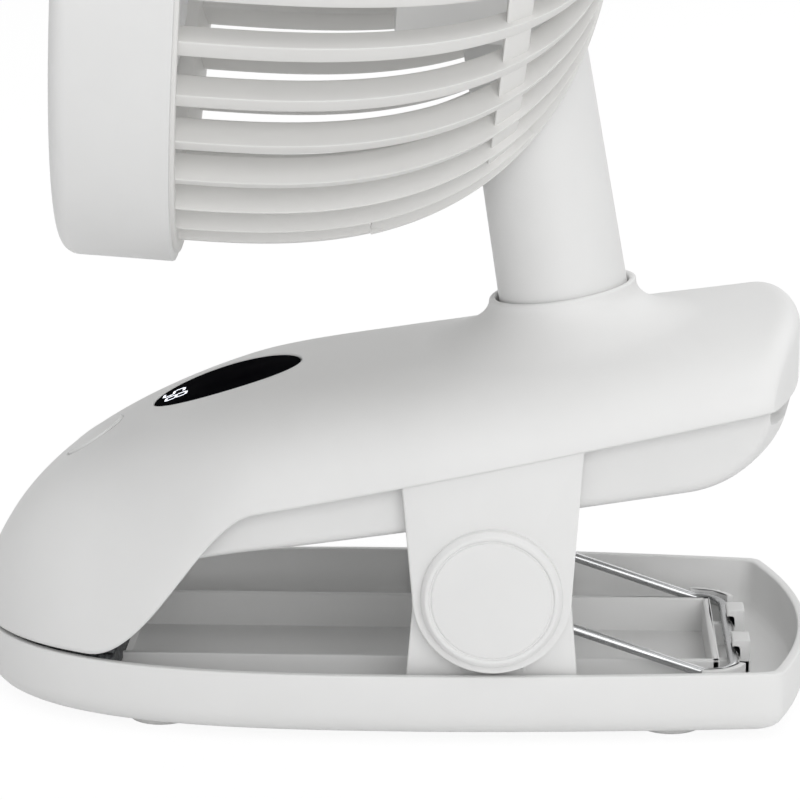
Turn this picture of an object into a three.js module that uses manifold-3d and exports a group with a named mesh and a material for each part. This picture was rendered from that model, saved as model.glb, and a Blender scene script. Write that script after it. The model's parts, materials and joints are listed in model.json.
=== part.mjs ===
// A battery clip fan: a louvred fan head on a leaning post, which stands on a sprung clip.
// Millimetres, +Z up. The fan faces -Y, and the clip's mouth is on the same side.
// The origin is on the underside of the clip's base, under the jaw's pivot axis.

import * as THREE from 'three';
import { mergeVertices } from 'three/addons/utils/BufferGeometryUtils.js';
import Module from 'manifold-3d';

// ---------- Driving dimensions: millimetres, and degrees where the name says so ----------

const FIT_GAP = 0.3; // between pieces that touch or seat in each other
const RUNNING_GAP = 0.4; // between pieces that turn or slide past each other

// Plan outline that the base tray and the upper jaw share
const NOSE_REACH = 107; // pivot axis to the tip of the mouth
const WIDEST_REACH = 17; // pivot axis forward to the widest place
const REAR_REACH = 58; // pivot axis back to the rear corners
const REAR_BULGE = 7.3; // how far the middle of the rear edge stands behind its corners
const CLIP_HALF_WIDTH = 44.6;
const REAR_HALF_WIDTH = 39.5;

// Base tray
const RIM_HEIGHT = 12.9;
const TRAY_WALL = 1.8;
const TRAY_FLOOR = 2;
const TRAY_EDGE = 5; // rounding along the lower edge
const RIB_HEIGHT = 9.4;
const RIB_THICKNESS = 1.6;
const RIB_HALF_SPACING = 21.5;
const RIB_END_REACH = 46.5; // pivot axis back to the closing rib
const PAD_SEAT_REAR = 76; // pivot axis forward to the back of the pad seat
const PAD_SEAT_HEIGHT = 8;
const FOOT_RADIUS = 7;
const FOOT_DROP = 1.6; // below the tray
const FOOT_RECESS = 0.6;
const FRONT_FOOT_REACH = 67.5;
const FRONT_FOOT_OFFSET = 28;
const REAR_FOOT_REACH = 36;
const REAR_FOOT_OFFSET = 29;

// Jaw pivot
const PIVOT_HEIGHT = 29.3;
const PIN_RADIUS = 2.5;
const EAR_OUTER = 43.8; // middle plane to the outer face of the upper ears
const EAR_THICKNESS = 3.4;
const EAR_RADIUS = 15.8;
const BASE_EAR_THICKNESS = 4.2;
const BASE_EAR_HALF_LENGTH = 17;
const BASE_EAR_TOP_RADIUS = 12.4;
const CAP_RADIUS = 14;
const CAP_THICKNESS = 2;
const CAP_LINE_RADIUS = 12.1;

// Upper jaw
const JAW_WALL = 2.2;
const NOSE_LIP_HEIGHT = 14; // lower edge of the shell round the nose
const THROAT_START = 81.5; // pivot axis forward to where the lower edge starts to climb
const THROAT_END = 47;
const SIDE_EDGE_HEIGHT = 55.3; // lower edge of the shell over the pivot
const SIDE_EDGE_SLOPE = 0.2055;
const CREST_HEIGHT = 72.9; // top of the shell over the pivot
const CREST_SLOPE = 0.149;
const NOSE_CREST_HEIGHT = 17;
const NOSE_BLEND_REACH = 30;
const SHELL_END_RADIUS = 5;
const SHELL_EXPONENTS = [3.4, 2]; // of the section's superellipse: across, upwards
const BELLY_EXPONENTS = [14, 14];
const BELLY_HEIGHT = 42.7; // underside of the belly cover over the pivot
const BELLY_SLOPE = 0.1455;
const BELLY_INSET = 4.5; // from the shell's outline
const BELLY_WALL = 1.8;
const BELLY_TAIL_START = 38; // pivot axis back to where the belly turns up
const SHELL_SETBACK = 3.2; // tray's rear edge to the shell's
const BELLY_SETBACK = 4.3; // shell's rear edge to the belly cover's
const PAD_THICKNESS = 2.2;

// Display and button on the nose
const DISPLAY_REACH = 56;
const DISPLAY_LENGTH = 32;
const DISPLAY_WIDTH = 25;
const WINDOW_THICKNESS = 1.6;
const BUTTON_REACH = 84;
const BUTTON_RADIUS = 6.8;
const BUTTON_PROUD = 0.9;

// Inside the jaw
const CELL_RADIUS = 9.2;
const CELL_LENGTH = 65;
const CELL_REACH = 34; // pivot axis forward to the front cell's axis
const CELL_PITCH = 20.5;
const BOARD_HALF_WIDTH = 22;
const BOARD_LENGTH = 22;
const BOARD_THICKNESS = 1.6;
const SOCKET_WIDTH = 9;
const SOCKET_HEIGHT = 3.3;
const SOCKET_LENGTH = 10;
const SOCKET_LEVEL = 73;
const SCREW_HEAD_RADIUS = 2.8;
const SCREW_RADIUS = 1.4;

// Spring
const WIRE_RADIUS = 1.05;
const COIL_RADIUS = 6.3; // to the middle of the wire
const COIL_TURNS = 4; // whole turns a side, besides the part turn between arm and leg
const COIL_PITCH = 2.7;
const SPRING_HALF_WIDTH = 25.5;
const SPRING_TAIL_REACH = 49.4; // pivot axis back to the cross wire
const SPRING_TAIL_LEVEL = 8;
const SPRING_BEND = 6;
const SPRING_ARM_REACH = 12;

// Neck
const POST_FOOT_REACH = 13.5; // pivot axis back to the post's axis at the collar's top
const COLLAR_HEIGHT = 82.9;
const POST_LENGTH = 79.9; // collar's top to the tilt pin
const POST_LEAN_DEGREES = 9.4;
const POST_FOOT_RADIUS = 13.3;
const POST_TOP_RADIUS = 12;
const POST_BORE = 7;
const COLLAR_DEPTH = 6;
const COLLAR_RIM = 1.4;
const COLLAR_FLARE = 12;
const SPIGOT_RADIUS = 9;
const RETAINER_RADIUS = 12.5;
const RETAINER_THICKNESS = 2.5;
const TILT_PIN_RADIUS = 2.2;

// Head, along its own axis from the tilt pin: forward is -Y
const HEAD_TILT_DEGREES = 4.5;
const HEAD_YAW_DEGREES = 2.9;
const RING_RADIUS = 77;
const RING_WIDTH = 22.6;
const RING_WALL = 2.4;
const RING_REACH = 60; // tilt pin forward to the ring's rear edge
const RING_ROUND = 3.5;
const SLAT_COUNT = 40;
const SLAT_RADIUS = 72.8; // to the slats' lower outer corner beside the ring
const SLAT_THICKNESS = 4.1;
const SLAT_DEPTH = 8;
const SLAT_LEAN = 1.4; // how far a slat's ridge stands out past its lower corner
const DOME_DEPTH = 83;
const SLOT_HALF_WIDTH = 15.2;
const SLOT_FRONT_REACH = 18; // tilt pin forward to the front of the neck's slot
const SLOT_TOP = 4; // over the head's axis
const SLOT_FRAME = 3.2;
const POLE_PLATE_RADIUS = 21;
const POLE_PLATE_THICKNESS = 4.4;
const POLE_PLATE_PROUD = 0.7; // past the slats' lower corners
const BAND_OVERLAP = 3; // how far the slats run forward into the band
const HOOP_REACH = 3; // tilt pin back to the hoop
const HOOP_WIDTH = 5;
const GRILLE_CAP_RADIUS = 18;
const GRILLE_SPOKES = 24;
const GRILLE_SPOKE_THICKNESS = 1.8;
const GRILLE_SPOKE_DEPTH = 3.2;
const GRILLE_SWEEP_DEGREES = 34;
const GRILLE_RING_RADIUS = 46;
const BLADE_COUNT = 7;
const BLADE_TIP_RADIUS = 63.5;
const BLADE_ZONE = 13; // along the axis
const BLADE_THICKNESS = 1.6;
const HUB_RADIUS = 16.5;
const SHAFT_RADIUS = 1.5;
const MOTOR_RADIUS = 16.2;
const MOTOR_FRONT = 43;
const MOTOR_REAR = 19.5;
const LUG_THICKNESS = 3;
const LUG_DROP = 27;
const LUG_RISE = 12.5;

// Facets
const ARCH_STEPS = 10;
const ROUND_STEPS = 24;
const SMALL_ROUND_STEPS = 12;
const LAP = 1; // how far a piece runs into the one it is joined with, and a cut past its face

// ---------- Solids ----------

const wasm = await Module();
wasm.setup();

/** A closed three.js geometry as a solid that can be joined and cut. */
function toSolid(geometry) {
  const bare = geometry.clone();
  bare.deleteAttribute('normal');
  bare.deleteAttribute('uv');
  const merged = mergeVertices(bare, 1e-4);
  return new wasm.Manifold(new wasm.Mesh({
    numProp: 3,
    vertProperties: Float32Array.from(merged.attributes.position.array),
    triVerts: Uint32Array.from(merged.index.array),
  }));
}

/** A solid back as a three.js geometry. */
function toGeometry(solid) {
  const { numProp, vertProperties, triVerts } = solid.simplify(0.005).getMesh();
  const positions = new Float32Array(triVerts.length * 3);
  triVerts.forEach((vertex, corner) => {
    for (let axis = 0; axis < 3; axis += 1) {
      positions[corner * 3 + axis] = vertProperties[vertex * numProp + axis];
    }
  });
  const geometry = new THREE.BufferGeometry();
  geometry.setAttribute('position', new THREE.BufferAttribute(positions, 3));
  geometry.computeVertexNormals();
  return geometry;
}

/** Joins solids into one. */
function join(...solids) {
  return solids.reduce((whole, solid) => whole.add(solid));
}

/** Cuts every later solid from the first. */
function cut(whole, ...tools) {
  return tools.reduce((rest, tool) => rest.subtract(tool), whole);
}

/** Triangles that close a ring by a fan from its middle, which becomes one more point. */
function fannedEnd(ring, middleIndex) {
  return ring.map((_, step) => [middleIndex, step, (step + 1) % ring.length]);
}

/**
 * Triangles that close a ring across, like a ladder between its upper and its lower line.
 * The two lines share their ends, or stand apart by a straight side.
 */
function zippedEnd(ring, sharedEnds) {
  const count = ring.length;
  const apart = sharedEnds ? 0 : 1;
  const triangles = [];
  for (let step = 0; step < count / 2 - apart; step += 1) {
    const next = step + 1;
    const across = (count - step - apart) % count;
    const beyond = count - step - 1 - apart;
    if (next !== beyond) triangles.push([step, next, beyond]);
    if (across !== step) triangles.push([step, beyond, across]);
  }
  return triangles;
}

/**
 * A closed body through rings of points, all with the same number of points.
 * Its ends are closed by fans, or by a function that gives the triangles of an end.
 */
function loft(rings, closeEnd) {
  const count = rings[0].length;
  const points = rings.flat();
  const triangles = [];
  for (let ring = 0; ring + 1 < rings.length; ring += 1) {
    for (let step = 0; step < count; step += 1) {
      const next = (step + 1) % count;
      const a = ring * count + step;
      const b = ring * count + next;
      triangles.push(a, b, b + count, a, b + count, a + count);
    }
  }
  for (const end of [0, rings.length - 1]) {
    const ring = rings[end];
    const middle = new THREE.Vector3();
    ring.forEach((point) => middle.addScaledVector(point, 1 / count));
    const local = closeEnd ? closeEnd(ring) : fannedEnd(ring, points.push(middle) - 1 - end * count);
    for (const [a, b, c] of local) {
      const corners = [a, b, c].map((corner) => corner + end * count);
      triangles.push(...(end === 0 ? corners.reverse() : corners));
    }
  }
  const volume = triangles.reduce((sum, _, at) => {
    if (at % 3) return sum;
    const [a, b, c] = [0, 1, 2].map((corner) => points[triangles[at + corner]]);
    return sum + a.dot(new THREE.Vector3().crossVectors(b, c));
  }, 0);
  if (volume < 0) triangles.reverse();
  const geometry = new THREE.BufferGeometry().setFromPoints(points);
  geometry.setIndex(triangles);
  return toSolid(geometry);
}

/** A body turned about Y from a profile of [radius, y] pairs that starts and ends on the axis. */
function turned(profile, steps = ROUND_STEPS) {
  const outline = profile.map(([radius, along]) => new THREE.Vector2(radius, along));
  const solid = toSolid(new THREE.LatheGeometry(outline, steps));
  return solid.volume() < 0 ? toSolid(flipped(new THREE.LatheGeometry(outline, steps))) : solid;
}

/** The same geometry with its faces turned over. */
function flipped(geometry) {
  const index = Array.from(geometry.index.array);
  index.reverse();
  geometry.setIndex(index);
  return geometry;
}

/** A body turned about Y from a profile that closes on itself away from the axis. */
function turnedRing(profile, steps = ROUND_STEPS) {
  return turned([...profile, profile[0]], steps);
}

/** A round bar along Y. */
function barY(radius, from, to, steps = ROUND_STEPS) {
  return turned([[0, from], [radius, from], [radius, to], [0, to]], steps);
}

/** A solid built about Y, stood up about Z. */
function upright(solid) {
  return solid.rotate([90, 0, 0]);
}

/** A round bar along Z. */
function barZ(radius, from, to, steps = ROUND_STEPS) {
  return upright(barY(radius, from, to, steps));
}

/** A round bar along X. */
function barX(radius, from, to, steps = ROUND_STEPS) {
  return barY(radius, from, to, steps).rotate([0, 0, -90]);
}

/** A block between two corners. */
function block(low, high) {
  const size = high.map((value, axis) => value - low[axis]);
  const middle = high.map((value, axis) => (value + low[axis]) / 2);
  return toSolid(new THREE.BoxGeometry(...size)).translate(middle);
}

/** An outline drawn in Y and Z, made solid from one X to another. */
function slabX(shape, from, to, curveSegments = 12) {
  const geometry = new THREE.ExtrudeGeometry(shape, {
    depth: to - from,
    bevelEnabled: false,
    curveSegments,
  });
  geometry.applyMatrix4(new THREE.Matrix4().makeBasis(
    new THREE.Vector3(0, 1, 0),
    new THREE.Vector3(0, 0, 1),
    new THREE.Vector3(1, 0, 0),
  ));
  return toSolid(geometry).translate([from, 0, 0]);
}

/** An outline drawn in X and Y, made solid from one Z to another. */
function slabZ(shape, from, to, curveSegments = 12) {
  const geometry = new THREE.ExtrudeGeometry(shape, {
    depth: to - from,
    bevelEnabled: false,
    curveSegments,
  });
  return toSolid(geometry).translate([0, 0, from]);
}

/** An oval outline centred on the origin. */
function ovalShape(width, length) {
  return new THREE.Shape().absellipse(0, 0, width / 2, length / 2, 0, 2 * Math.PI);
}

/** A closed outline through plain [x, y] corners. */
function cornerShape(corners) {
  return new THREE.Shape(corners.map(([x, y]) => new THREE.Vector2(x, y)));
}

/** Evenly spaced numbers, both ends included. */
function spaced(from, to, steps) {
  return Array.from({ length: steps + 1 }, (_, step) => from + ((to - from) * step) / steps);
}

/** 0 below the first limit, 1 above the second, and a smooth climb between. */
function smooth(value, low, high) {
  return THREE.MathUtils.smoothstep(value, low, high);
}

/** The same call on the left and on the right side. */
function bothSides(make) {
  return [-1, 1].map(make);
}

// ---------- The clip's outline ----------

/** Half the clip's width at a place along Y: a full, rounded nose and a slight taper behind. */
function halfWidthAt(y, inset = 0) {
  const ahead = (-WIDEST_REACH - y) / (NOSE_REACH - WIDEST_REACH - inset);
  const widest = CLIP_HALF_WIDTH - inset;
  if (ahead >= 1) return 0;
  if (ahead > 0) return widest * (1 - ahead ** 3) ** (1 / 2.2);
  const behind = Math.min((y + WIDEST_REACH) / (REAR_REACH + WIDEST_REACH), 1);
  return widest - (CLIP_HALF_WIDTH - REAR_HALF_WIDTH) * behind ** 1.6;
}

/** One half of the plan outline, from the nose's tip round to the middle of the rear edge. */
function halfOutline(inset) {
  const nose = spaced(0, Math.PI / 2, 9).map((turn) => new THREE.Vector2(
    (CLIP_HALF_WIDTH - inset) * Math.sin(turn) ** (2 / 2.2),
    -WIDEST_REACH - (NOSE_REACH - WIDEST_REACH - inset) * Math.cos(turn) ** (2 / 3),
  ));
  const cornerStart = REAR_REACH - inset - REAR_BULGE / 3;
  const side = spaced(-WIDEST_REACH, cornerStart, 4).slice(1)
    .map((y) => new THREE.Vector2(halfWidthAt(y, inset), y));
  const rear = spaced(0.96, 0, 4).map((share) => new THREE.Vector2(
    (REAR_HALF_WIDTH - inset) * share,
    REAR_REACH - inset + REAR_BULGE * (1 - share ** 2),
  ));
  return [...nose, ...side, ...rear];
}

/** The whole plan outline, moved inwards by an inset. */
function clipOutline(inset) {
  const half = halfOutline(inset);
  const mirrored = half.slice(1, -1).reverse().map((point) => new THREE.Vector2(-point.x, point.y));
  return [...half, ...mirrored];
}

/** A body between levels, each [z, inset of the outline]. */
function clipStack(levels) {
  return loft(levels.map(([z, inset]) => clipOutline(inset)
    .map((point) => new THREE.Vector3(point.x, point.y, z))));
}

/** Lower edge of the upper jaw's shell, seen from the side. */
function lipAt(y) {
  const side = SIDE_EDGE_HEIGHT + SIDE_EDGE_SLOPE * y;
  return NOSE_LIP_HEIGHT + (side - NOSE_LIP_HEIGHT) * smooth(y, -THROAT_START, -THROAT_END);
}

/** Top line of the upper jaw's shell. */
function crestAt(y) {
  const back = CREST_HEIGHT + CREST_SLOPE * y;
  const ahead = (-NOSE_BLEND_REACH - y) / (NOSE_REACH - NOSE_BLEND_REACH);
  if (ahead <= 0) return back;
  return NOSE_CREST_HEIGHT + (back - NOSE_CREST_HEIGHT) * Math.sqrt(Math.max(1 - ahead ** 2.5, 0));
}

/** Underside of the belly cover: it hides behind the shell's edge as far as the throat. */
function bellyAt(y) {
  const line = BELLY_HEIGHT + BELLY_SLOPE * y;
  const tail = Math.max(y - BELLY_TAIL_START, 0) / (shellRear() - BELLY_TAIL_START);
  const lift = lipAt(y) - line;
  const raised = line + lift * (1 - Math.sqrt(Math.max(1 - tail ** 2, 0)));
  return Math.min(raised, lipAt(y) - NOSE_LIP_HEIGHT + upperPadLow() + PAD_THICKNESS + FIT_GAP);
}

/** Y of the shell's rear corners. */
function shellRear() {
  return REAR_REACH - SHELL_SETBACK;
}

/** How far the middle of a section stands behind its sides: nothing in front, the bulge at the rear. */
function bulgeAt(y) {
  return REAR_BULGE * smooth(y, 0, shellRear());
}

/**
 * A section of the jaw across X: an arch over a chord, and below it straight sides as far as a drop.
 * The arch is a superellipse, so the top is broad and the flanks stand steeply.
 */
function archRing(y, halfWidth, chord, top, exponents, drop = 0) {
  const place = (x, z) => new THREE.Vector3(x, y + bulgeAt(y) * (1 - (x / halfWidth) ** 2), z);
  const arch = spaced(0, Math.PI, ARCH_STEPS).map((turn) => {
    const reach = Math.sign(Math.cos(turn)) * Math.abs(Math.cos(turn)) ** (2 / exponents[0]);
    const rise = Math.abs(Math.sin(turn)) ** (2 / exponents[1]);
    return place(halfWidth * reach, chord + (top - chord) * rise);
  });
  const floor = arch.map((point) => place(-point.x, chord - drop));
  return [...arch, ...(drop ? floor : floor.slice(1, -1))];
}

/** Stations along Y from an inset nose to an inset rear, closest together at the nose. */
function jawStations(inset) {
  const start = -NOSE_REACH + inset;
  const rear = shellRear() - inset;
  const nose = spaced(0, 1, 6).map((share) => start + (-THROAT_START - start) * share ** 2);
  const throat = spaced(-THROAT_START, -THROAT_END, 6).slice(1);
  const back = spaced(-THROAT_END, rear - SHELL_END_RADIUS, 4).slice(1);
  const end = spaced(0, Math.PI / 2, 3).slice(1)
    .map((turn) => rear - SHELL_END_RADIUS + SHELL_END_RADIUS * Math.sin(turn));
  return [...nose, ...throat, ...back, ...end];
}

/** The jaw's outer form, or the same form with its skin moved inwards and its floor dropped. */
function jawBody(inset, floorDrop) {
  const stations = jawStations(inset);
  const rear = shellRear() - inset;
  return loft(stations.map((y) => {
    const intoEnd = Math.max(y - (rear - SHELL_END_RADIUS), 0) / SHELL_END_RADIUS;
    const endDrop = SHELL_END_RADIUS * (1 - Math.sqrt(Math.max(1 - intoEnd ** 2, 0)));
    const halfWidth = Math.max(halfWidthAt(y, inset), 0.4);
    const high = Math.max(crestAt(y) - inset - endDrop * 0.8, lipAt(y) + 1);
    return archRing(y, halfWidth, lipAt(y), high, SHELL_EXPONENTS, floorDrop);
  }), (ring) => zippedEnd(ring, floorDrop === 0));
}

// ---------- Base ----------

/** Outline of a base ear: a foot in the tray and a round top about the pivot. */
function baseEarShape() {
  const foot = TRAY_FLOOR - LAP;
  const shape = new THREE.Shape();
  shape.moveTo(-BASE_EAR_HALF_LENGTH, foot);
  shape.lineTo(BASE_EAR_HALF_LENGTH, foot);
  shape.lineTo(BASE_EAR_HALF_LENGTH, RIM_HEIGHT);
  shape.lineTo(BASE_EAR_HALF_LENGTH - 1.2, PIVOT_HEIGHT - 3);
  shape.absarc(0, PIVOT_HEIGHT, BASE_EAR_TOP_RADIUS, 0.25, Math.PI - 0.25, false);
  shape.lineTo(-BASE_EAR_HALF_LENGTH + 1.2, PIVOT_HEIGHT - 3);
  shape.lineTo(-BASE_EAR_HALF_LENGTH, RIM_HEIGHT);
  shape.closePath();
  return shape;
}

/** X of the base ear's outer face, inside the upper ear. */
function baseEarOuter() {
  return EAR_OUTER - EAR_THICKNESS - RUNNING_GAP;
}

/** One ear of the base, with two draft lines below the pivot. */
function baseEar(side) {
  const outer = baseEarOuter();
  const ends = [side * (outer - BASE_EAR_THICKNESS), side * outer].sort((a, b) => a - b);
  const plate = slabX(baseEarShape(), ends[0], ends[1], 10);
  const lineDepth = 0.5;
  const lines = [-6.4, 6.4].map((y) => {
    const faces = [side * (outer - lineDepth), side * (outer + LAP)].sort((a, b) => a - b);
    return block(
      [faces[0], y - 0.3, RIM_HEIGHT],
      [faces[1], y + 0.3, PIVOT_HEIGHT - EAR_RADIUS + 4],
    );
  });
  return cut(plate, ...lines);
}

/** Curved wall that keeps a spring leg in place where it bends towards the cross wire. */
function bendGuide(side) {
  const inner = WIRE_RADIUS + RUNNING_GAP;
  const centre = [SPRING_HALF_WIDTH - SPRING_BEND, SPRING_TAIL_REACH - SPRING_BEND];
  const outline = new THREE.Shape();
  outline.absarc(...centre, SPRING_BEND + inner + 1.4, -0.1, Math.PI / 2 - 0.35, false);
  outline.absarc(...centre, SPRING_BEND + inner, Math.PI / 2 - 0.35, -0.1, true);
  outline.closePath();
  const wall = slabZ(outline, TRAY_FLOOR - LAP, RIB_HEIGHT, 8);
  return side > 0 ? wall : wall.mirror([1, 0, 0]);
}

/** Hooked block behind the cross wire. */
function hookBlock(x) {
  const front = SPRING_TAIL_REACH + WIRE_RADIUS + RUNNING_GAP;
  const wireTop = SPRING_TAIL_LEVEL + WIRE_RADIUS + RUNNING_GAP;
  const post = block([x - 3, front, TRAY_FLOOR - LAP], [x + 3, front + 2.4, wireTop + 1.6]);
  const lip = block([x - 3, front - 1.4, wireTop], [x + 3, front + LAP, wireTop + 1.6]);
  return join(post, lip);
}

function footPlaces() {
  return [
    ['front_left', -FRONT_FOOT_OFFSET, -FRONT_FOOT_REACH],
    ['front_right', FRONT_FOOT_OFFSET, -FRONT_FOOT_REACH],
    ['rear_left', -REAR_FOOT_OFFSET, REAR_FOOT_REACH],
    ['rear_right', REAR_FOOT_OFFSET, REAR_FOOT_REACH],
  ];
}

/** The tray: a thin-walled boat with ribs, ears, spring guides and a seat for the mouth pad. */
function baseTray() {
  const outer = clipStack([
    [0, TRAY_EDGE],
    [TRAY_EDGE * 0.14, TRAY_EDGE * 0.5],
    [TRAY_EDGE * 0.5, TRAY_EDGE * 0.13],
    [TRAY_EDGE, 0],
    [RIM_HEIGHT - 0.4, 0],
    [RIM_HEIGHT, 0.4],
  ]);
  const hollow = clipStack([
    [TRAY_FLOOR, TRAY_WALL + 1.6],
    [TRAY_FLOOR + 1.2, TRAY_WALL + 0.4],
    [TRAY_EDGE + 1, TRAY_WALL],
    [RIM_HEIGHT + LAP, TRAY_WALL],
  ]);
  const inside = clipStack([
    [LAP / 2, TRAY_EDGE],
    [TRAY_FLOOR + 1.2, TRAY_WALL],
    [RIB_HEIGHT, TRAY_WALL - LAP / 2],
  ]);
  const seat = inside.intersect(block(
    [-CLIP_HALF_WIDTH, -NOSE_REACH, TRAY_FLOOR - LAP],
    [CLIP_HALF_WIDTH, -PAD_SEAT_REAR, PAD_SEAT_HEIGHT],
  ));
  const longRibs = bothSides((side) => {
    const faces = [RIB_HALF_SPACING, RIB_HALF_SPACING - RIB_THICKNESS].map((x) => side * x);
    return block(
      [Math.min(...faces), -PAD_SEAT_REAR, TRAY_FLOOR - LAP],
      [Math.max(...faces), RIB_END_REACH, RIB_HEIGHT],
    );
  });
  const endRib = block(
    [-RIB_HALF_SPACING, RIB_END_REACH - RIB_THICKNESS, TRAY_FLOOR - LAP],
    [RIB_HALF_SPACING, RIB_END_REACH, RIB_HEIGHT],
  );
  const wireRest = bothSides((side) => block(
    [side * 12 - 1, RIB_END_REACH - LAP, TRAY_FLOOR - LAP],
    [side * 12 + 1, SPRING_TAIL_REACH + 4, SPRING_TAIL_LEVEL - WIRE_RADIUS - FIT_GAP],
  ));
  const ears = bothSides(baseEar);
  const hooks = [-10, 10].map(hookBlock);
  const guides = bothSides(bendGuide);
  const body = join(
    cut(outer, hollow), seat, ...longRibs, endRib, ...wireRest, ...ears, ...hooks, ...guides,
  );
  const recesses = footPlaces().map(([, x, y]) => (
    barZ(FOOT_RADIUS + FIT_GAP, -LAP, FOOT_RECESS, 18).translate([x, y, 0])
  ));
  const pinHole = barX(
    PIN_RADIUS + FIT_GAP,
    -CLIP_HALF_WIDTH,
    CLIP_HALF_WIDTH,
    SMALL_ROUND_STEPS,
  ).translate([0, 0, PIVOT_HEIGHT]);
  const drain = barZ(1.8, -LAP, TRAY_FLOOR + LAP, 12).translate([0, -BASE_EAR_HALF_LENGTH - 3, 0]);
  return cut(body, ...recesses, pinHole, drain);
}

/** Soft pad in the front of the tray or under the nose: the outline, cut off behind, with grooves. */
function mouthPad(low, high, grooveFace) {
  const inset = Math.max(TRAY_WALL, JAW_WALL) + RUNNING_GAP;
  const whole = clipStack([[low, inset], [high, inset]]);
  const pad = cut(whole, block(
    [-CLIP_HALF_WIDTH, -PAD_SEAT_REAR - FIT_GAP, low - LAP],
    [CLIP_HALF_WIDTH, REAR_REACH + REAR_BULGE + LAP, high + LAP],
  ));
  const grooves = spaced(-PAD_SEAT_REAR - 4, -PAD_SEAT_REAR - 16, 4).map((y) => block(
    [-CLIP_HALF_WIDTH, y - 0.5, grooveFace - 0.4],
    [CLIP_HALF_WIDTH, y + 0.5, grooveFace + 0.4],
  ));
  return cut(pad, ...grooves);
}

/** Underside of the upper mouth pad, just below the shell's edge. */
function upperPadLow() {
  return NOSE_LIP_HEIGHT - RUNNING_GAP;
}

function lowerPad() {
  const top = upperPadLow() - FIT_GAP;
  return mouthPad(PAD_SEAT_HEIGHT + FIT_GAP, top, top);
}

/** Rubber foot with a rounded lower edge. */
function foot() {
  const top = FOOT_RECESS - FIT_GAP;
  return upright(turned([
    [0, -FOOT_DROP],
    [FOOT_RADIUS - 1, -FOOT_DROP],
    [FOOT_RADIUS - 0.2, -FOOT_DROP * 0.6],
    [FOOT_RADIUS, top],
    [0, top],
  ], 18));
}

/** Steel axle through all four ears. */
function pivotPin() {
  const half = EAR_OUTER - 0.2;
  return barX(PIN_RADIUS, -half, half, SMALL_ROUND_STEPS);
}

/** Angle where a straight length from a point meets the coil, on its upper or its lower side. */
function tangentTurn([y, z], side) {
  return Math.atan2(z, y) + side * Math.acos(COIL_RADIUS / Math.hypot(y, z));
}

/**
 * Route of the double torsion spring, a single wire: one short arm under the belly, a coil round
 * the axle, a long leg back into the tray, the cross wire, and the same again on the other side.
 */
function springPoints() {
  const tail = SPRING_TAIL_LEVEL - PIVOT_HEIGHT;
  const underBelly = bellyAt(SPRING_ARM_REACH) - PIVOT_HEIGHT;
  const armEnd = [SPRING_ARM_REACH, underBelly - WIRE_RADIUS - FIT_GAP * 1.3];
  const bendFront = SPRING_TAIL_REACH - SPRING_BEND;
  const legTurn = tangentTurn([bendFront, tail], -1);
  const armTurn = tangentTurn(armEnd, 1);
  const sweep = legTurn - armTurn + (COIL_TURNS + 1) * 2 * Math.PI;
  const advance = (COIL_PITCH * sweep) / (2 * Math.PI);
  const steps = Math.round(sweep / (Math.PI / 4));
  const corner = spaced(Math.PI / 2, 0, 3).map((turn) => [
    SPRING_HALF_WIDTH - SPRING_BEND + SPRING_BEND * Math.cos(turn),
    bendFront + SPRING_BEND * Math.sin(turn),
    tail,
  ]);
  const coil = spaced(0, 1, steps).map((share) => [
    SPRING_HALF_WIDTH - advance * share,
    COIL_RADIUS * Math.cos(legTurn - sweep * share),
    COIL_RADIUS * Math.sin(legTurn - sweep * share),
  ]);
  const leg = [1 / 3, 2 / 3].map((share) => corner[3].map((value, axis) => (
    value + (coil[0][axis] - value) * share
  )));
  const arm = [SPRING_HALF_WIDTH - advance, ...armEnd];
  const half = [[0, SPRING_TAIL_REACH, tail], ...corner, ...leg, ...coil, arm];
  const right = half.map(([x, y, z]) => new THREE.Vector3(x, y, z));
  const left = right.slice(1).map((point) => new THREE.Vector3(-point.x, point.y, point.z));
  return [...left.reverse(), ...right];
}

/** Least clear space between two turns of the wire, measured on points along it. */
function leastWireGap(curve) {
  const samples = curve.getSpacedPoints(600);
  const apart = Math.ceil((600 * 4 * WIRE_RADIUS) / curve.getLength()) + 2;
  let least = Infinity;
  for (let a = 0; a < samples.length; a += 1) {
    for (let b = a + apart; b < samples.length; b += 1) {
      least = Math.min(least, samples[a].distanceTo(samples[b]));
    }
  }
  return least - 2 * WIRE_RADIUS;
}

function clipSpring() {
  const curve = new THREE.CatmullRomCurve3(springPoints(), false, 'centripetal');
  curve.arcLengthDivisions = 1200;
  const steps = Math.round(curve.getLength() / ((Math.PI / 4) * COIL_RADIUS));
  const section = new THREE.Shape();
  spaced(0, 2 * Math.PI, 5).slice(0, -1).forEach((turn, at) => {
    const corner = [WIRE_RADIUS * Math.cos(turn), WIRE_RADIUS * Math.sin(turn)];
    if (at === 0) section.moveTo(...corner);
    else section.lineTo(...corner);
  });
  console.log(`clip_spring: least gap between turns ${leastWireGap(curve).toFixed(2)} mm`);
  return new THREE.ExtrudeGeometry(section, { steps, extrudePath: curve });
}

// ---------- Upper jaw ----------

/** The post's axis: a foot on the collar's top and a lean towards the nose. */
function onPostAxis(solid) {
  return solid.rotate([POST_LEAN_DEGREES, 0, 0]).translate([0, POST_FOOT_REACH, COLLAR_HEIGHT]);
}

/** Radius of the collar's bore, which the post's foot turns in. */
function collarBore() {
  return POST_FOOT_RADIUS + RUNNING_GAP;
}

/** Flared collar round the post's foot, solid down to the axis. */
function collarFlare() {
  const rim = collarBore() + COLLAR_RIM;
  const sweep = spaced(0, 1, 4).map((share) => [
    rim + COLLAR_FLARE * share ** 1.8,
    -0.8 - (COLLAR_DEPTH + 3) * share ** 0.75,
  ]);
  return onPostAxis(upright(turned([
    [0, 0],
    [rim - 0.6, 0],
    ...sweep,
    [0, -(COLLAR_DEPTH + 3.8)],
  ], 28)));
}

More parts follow.
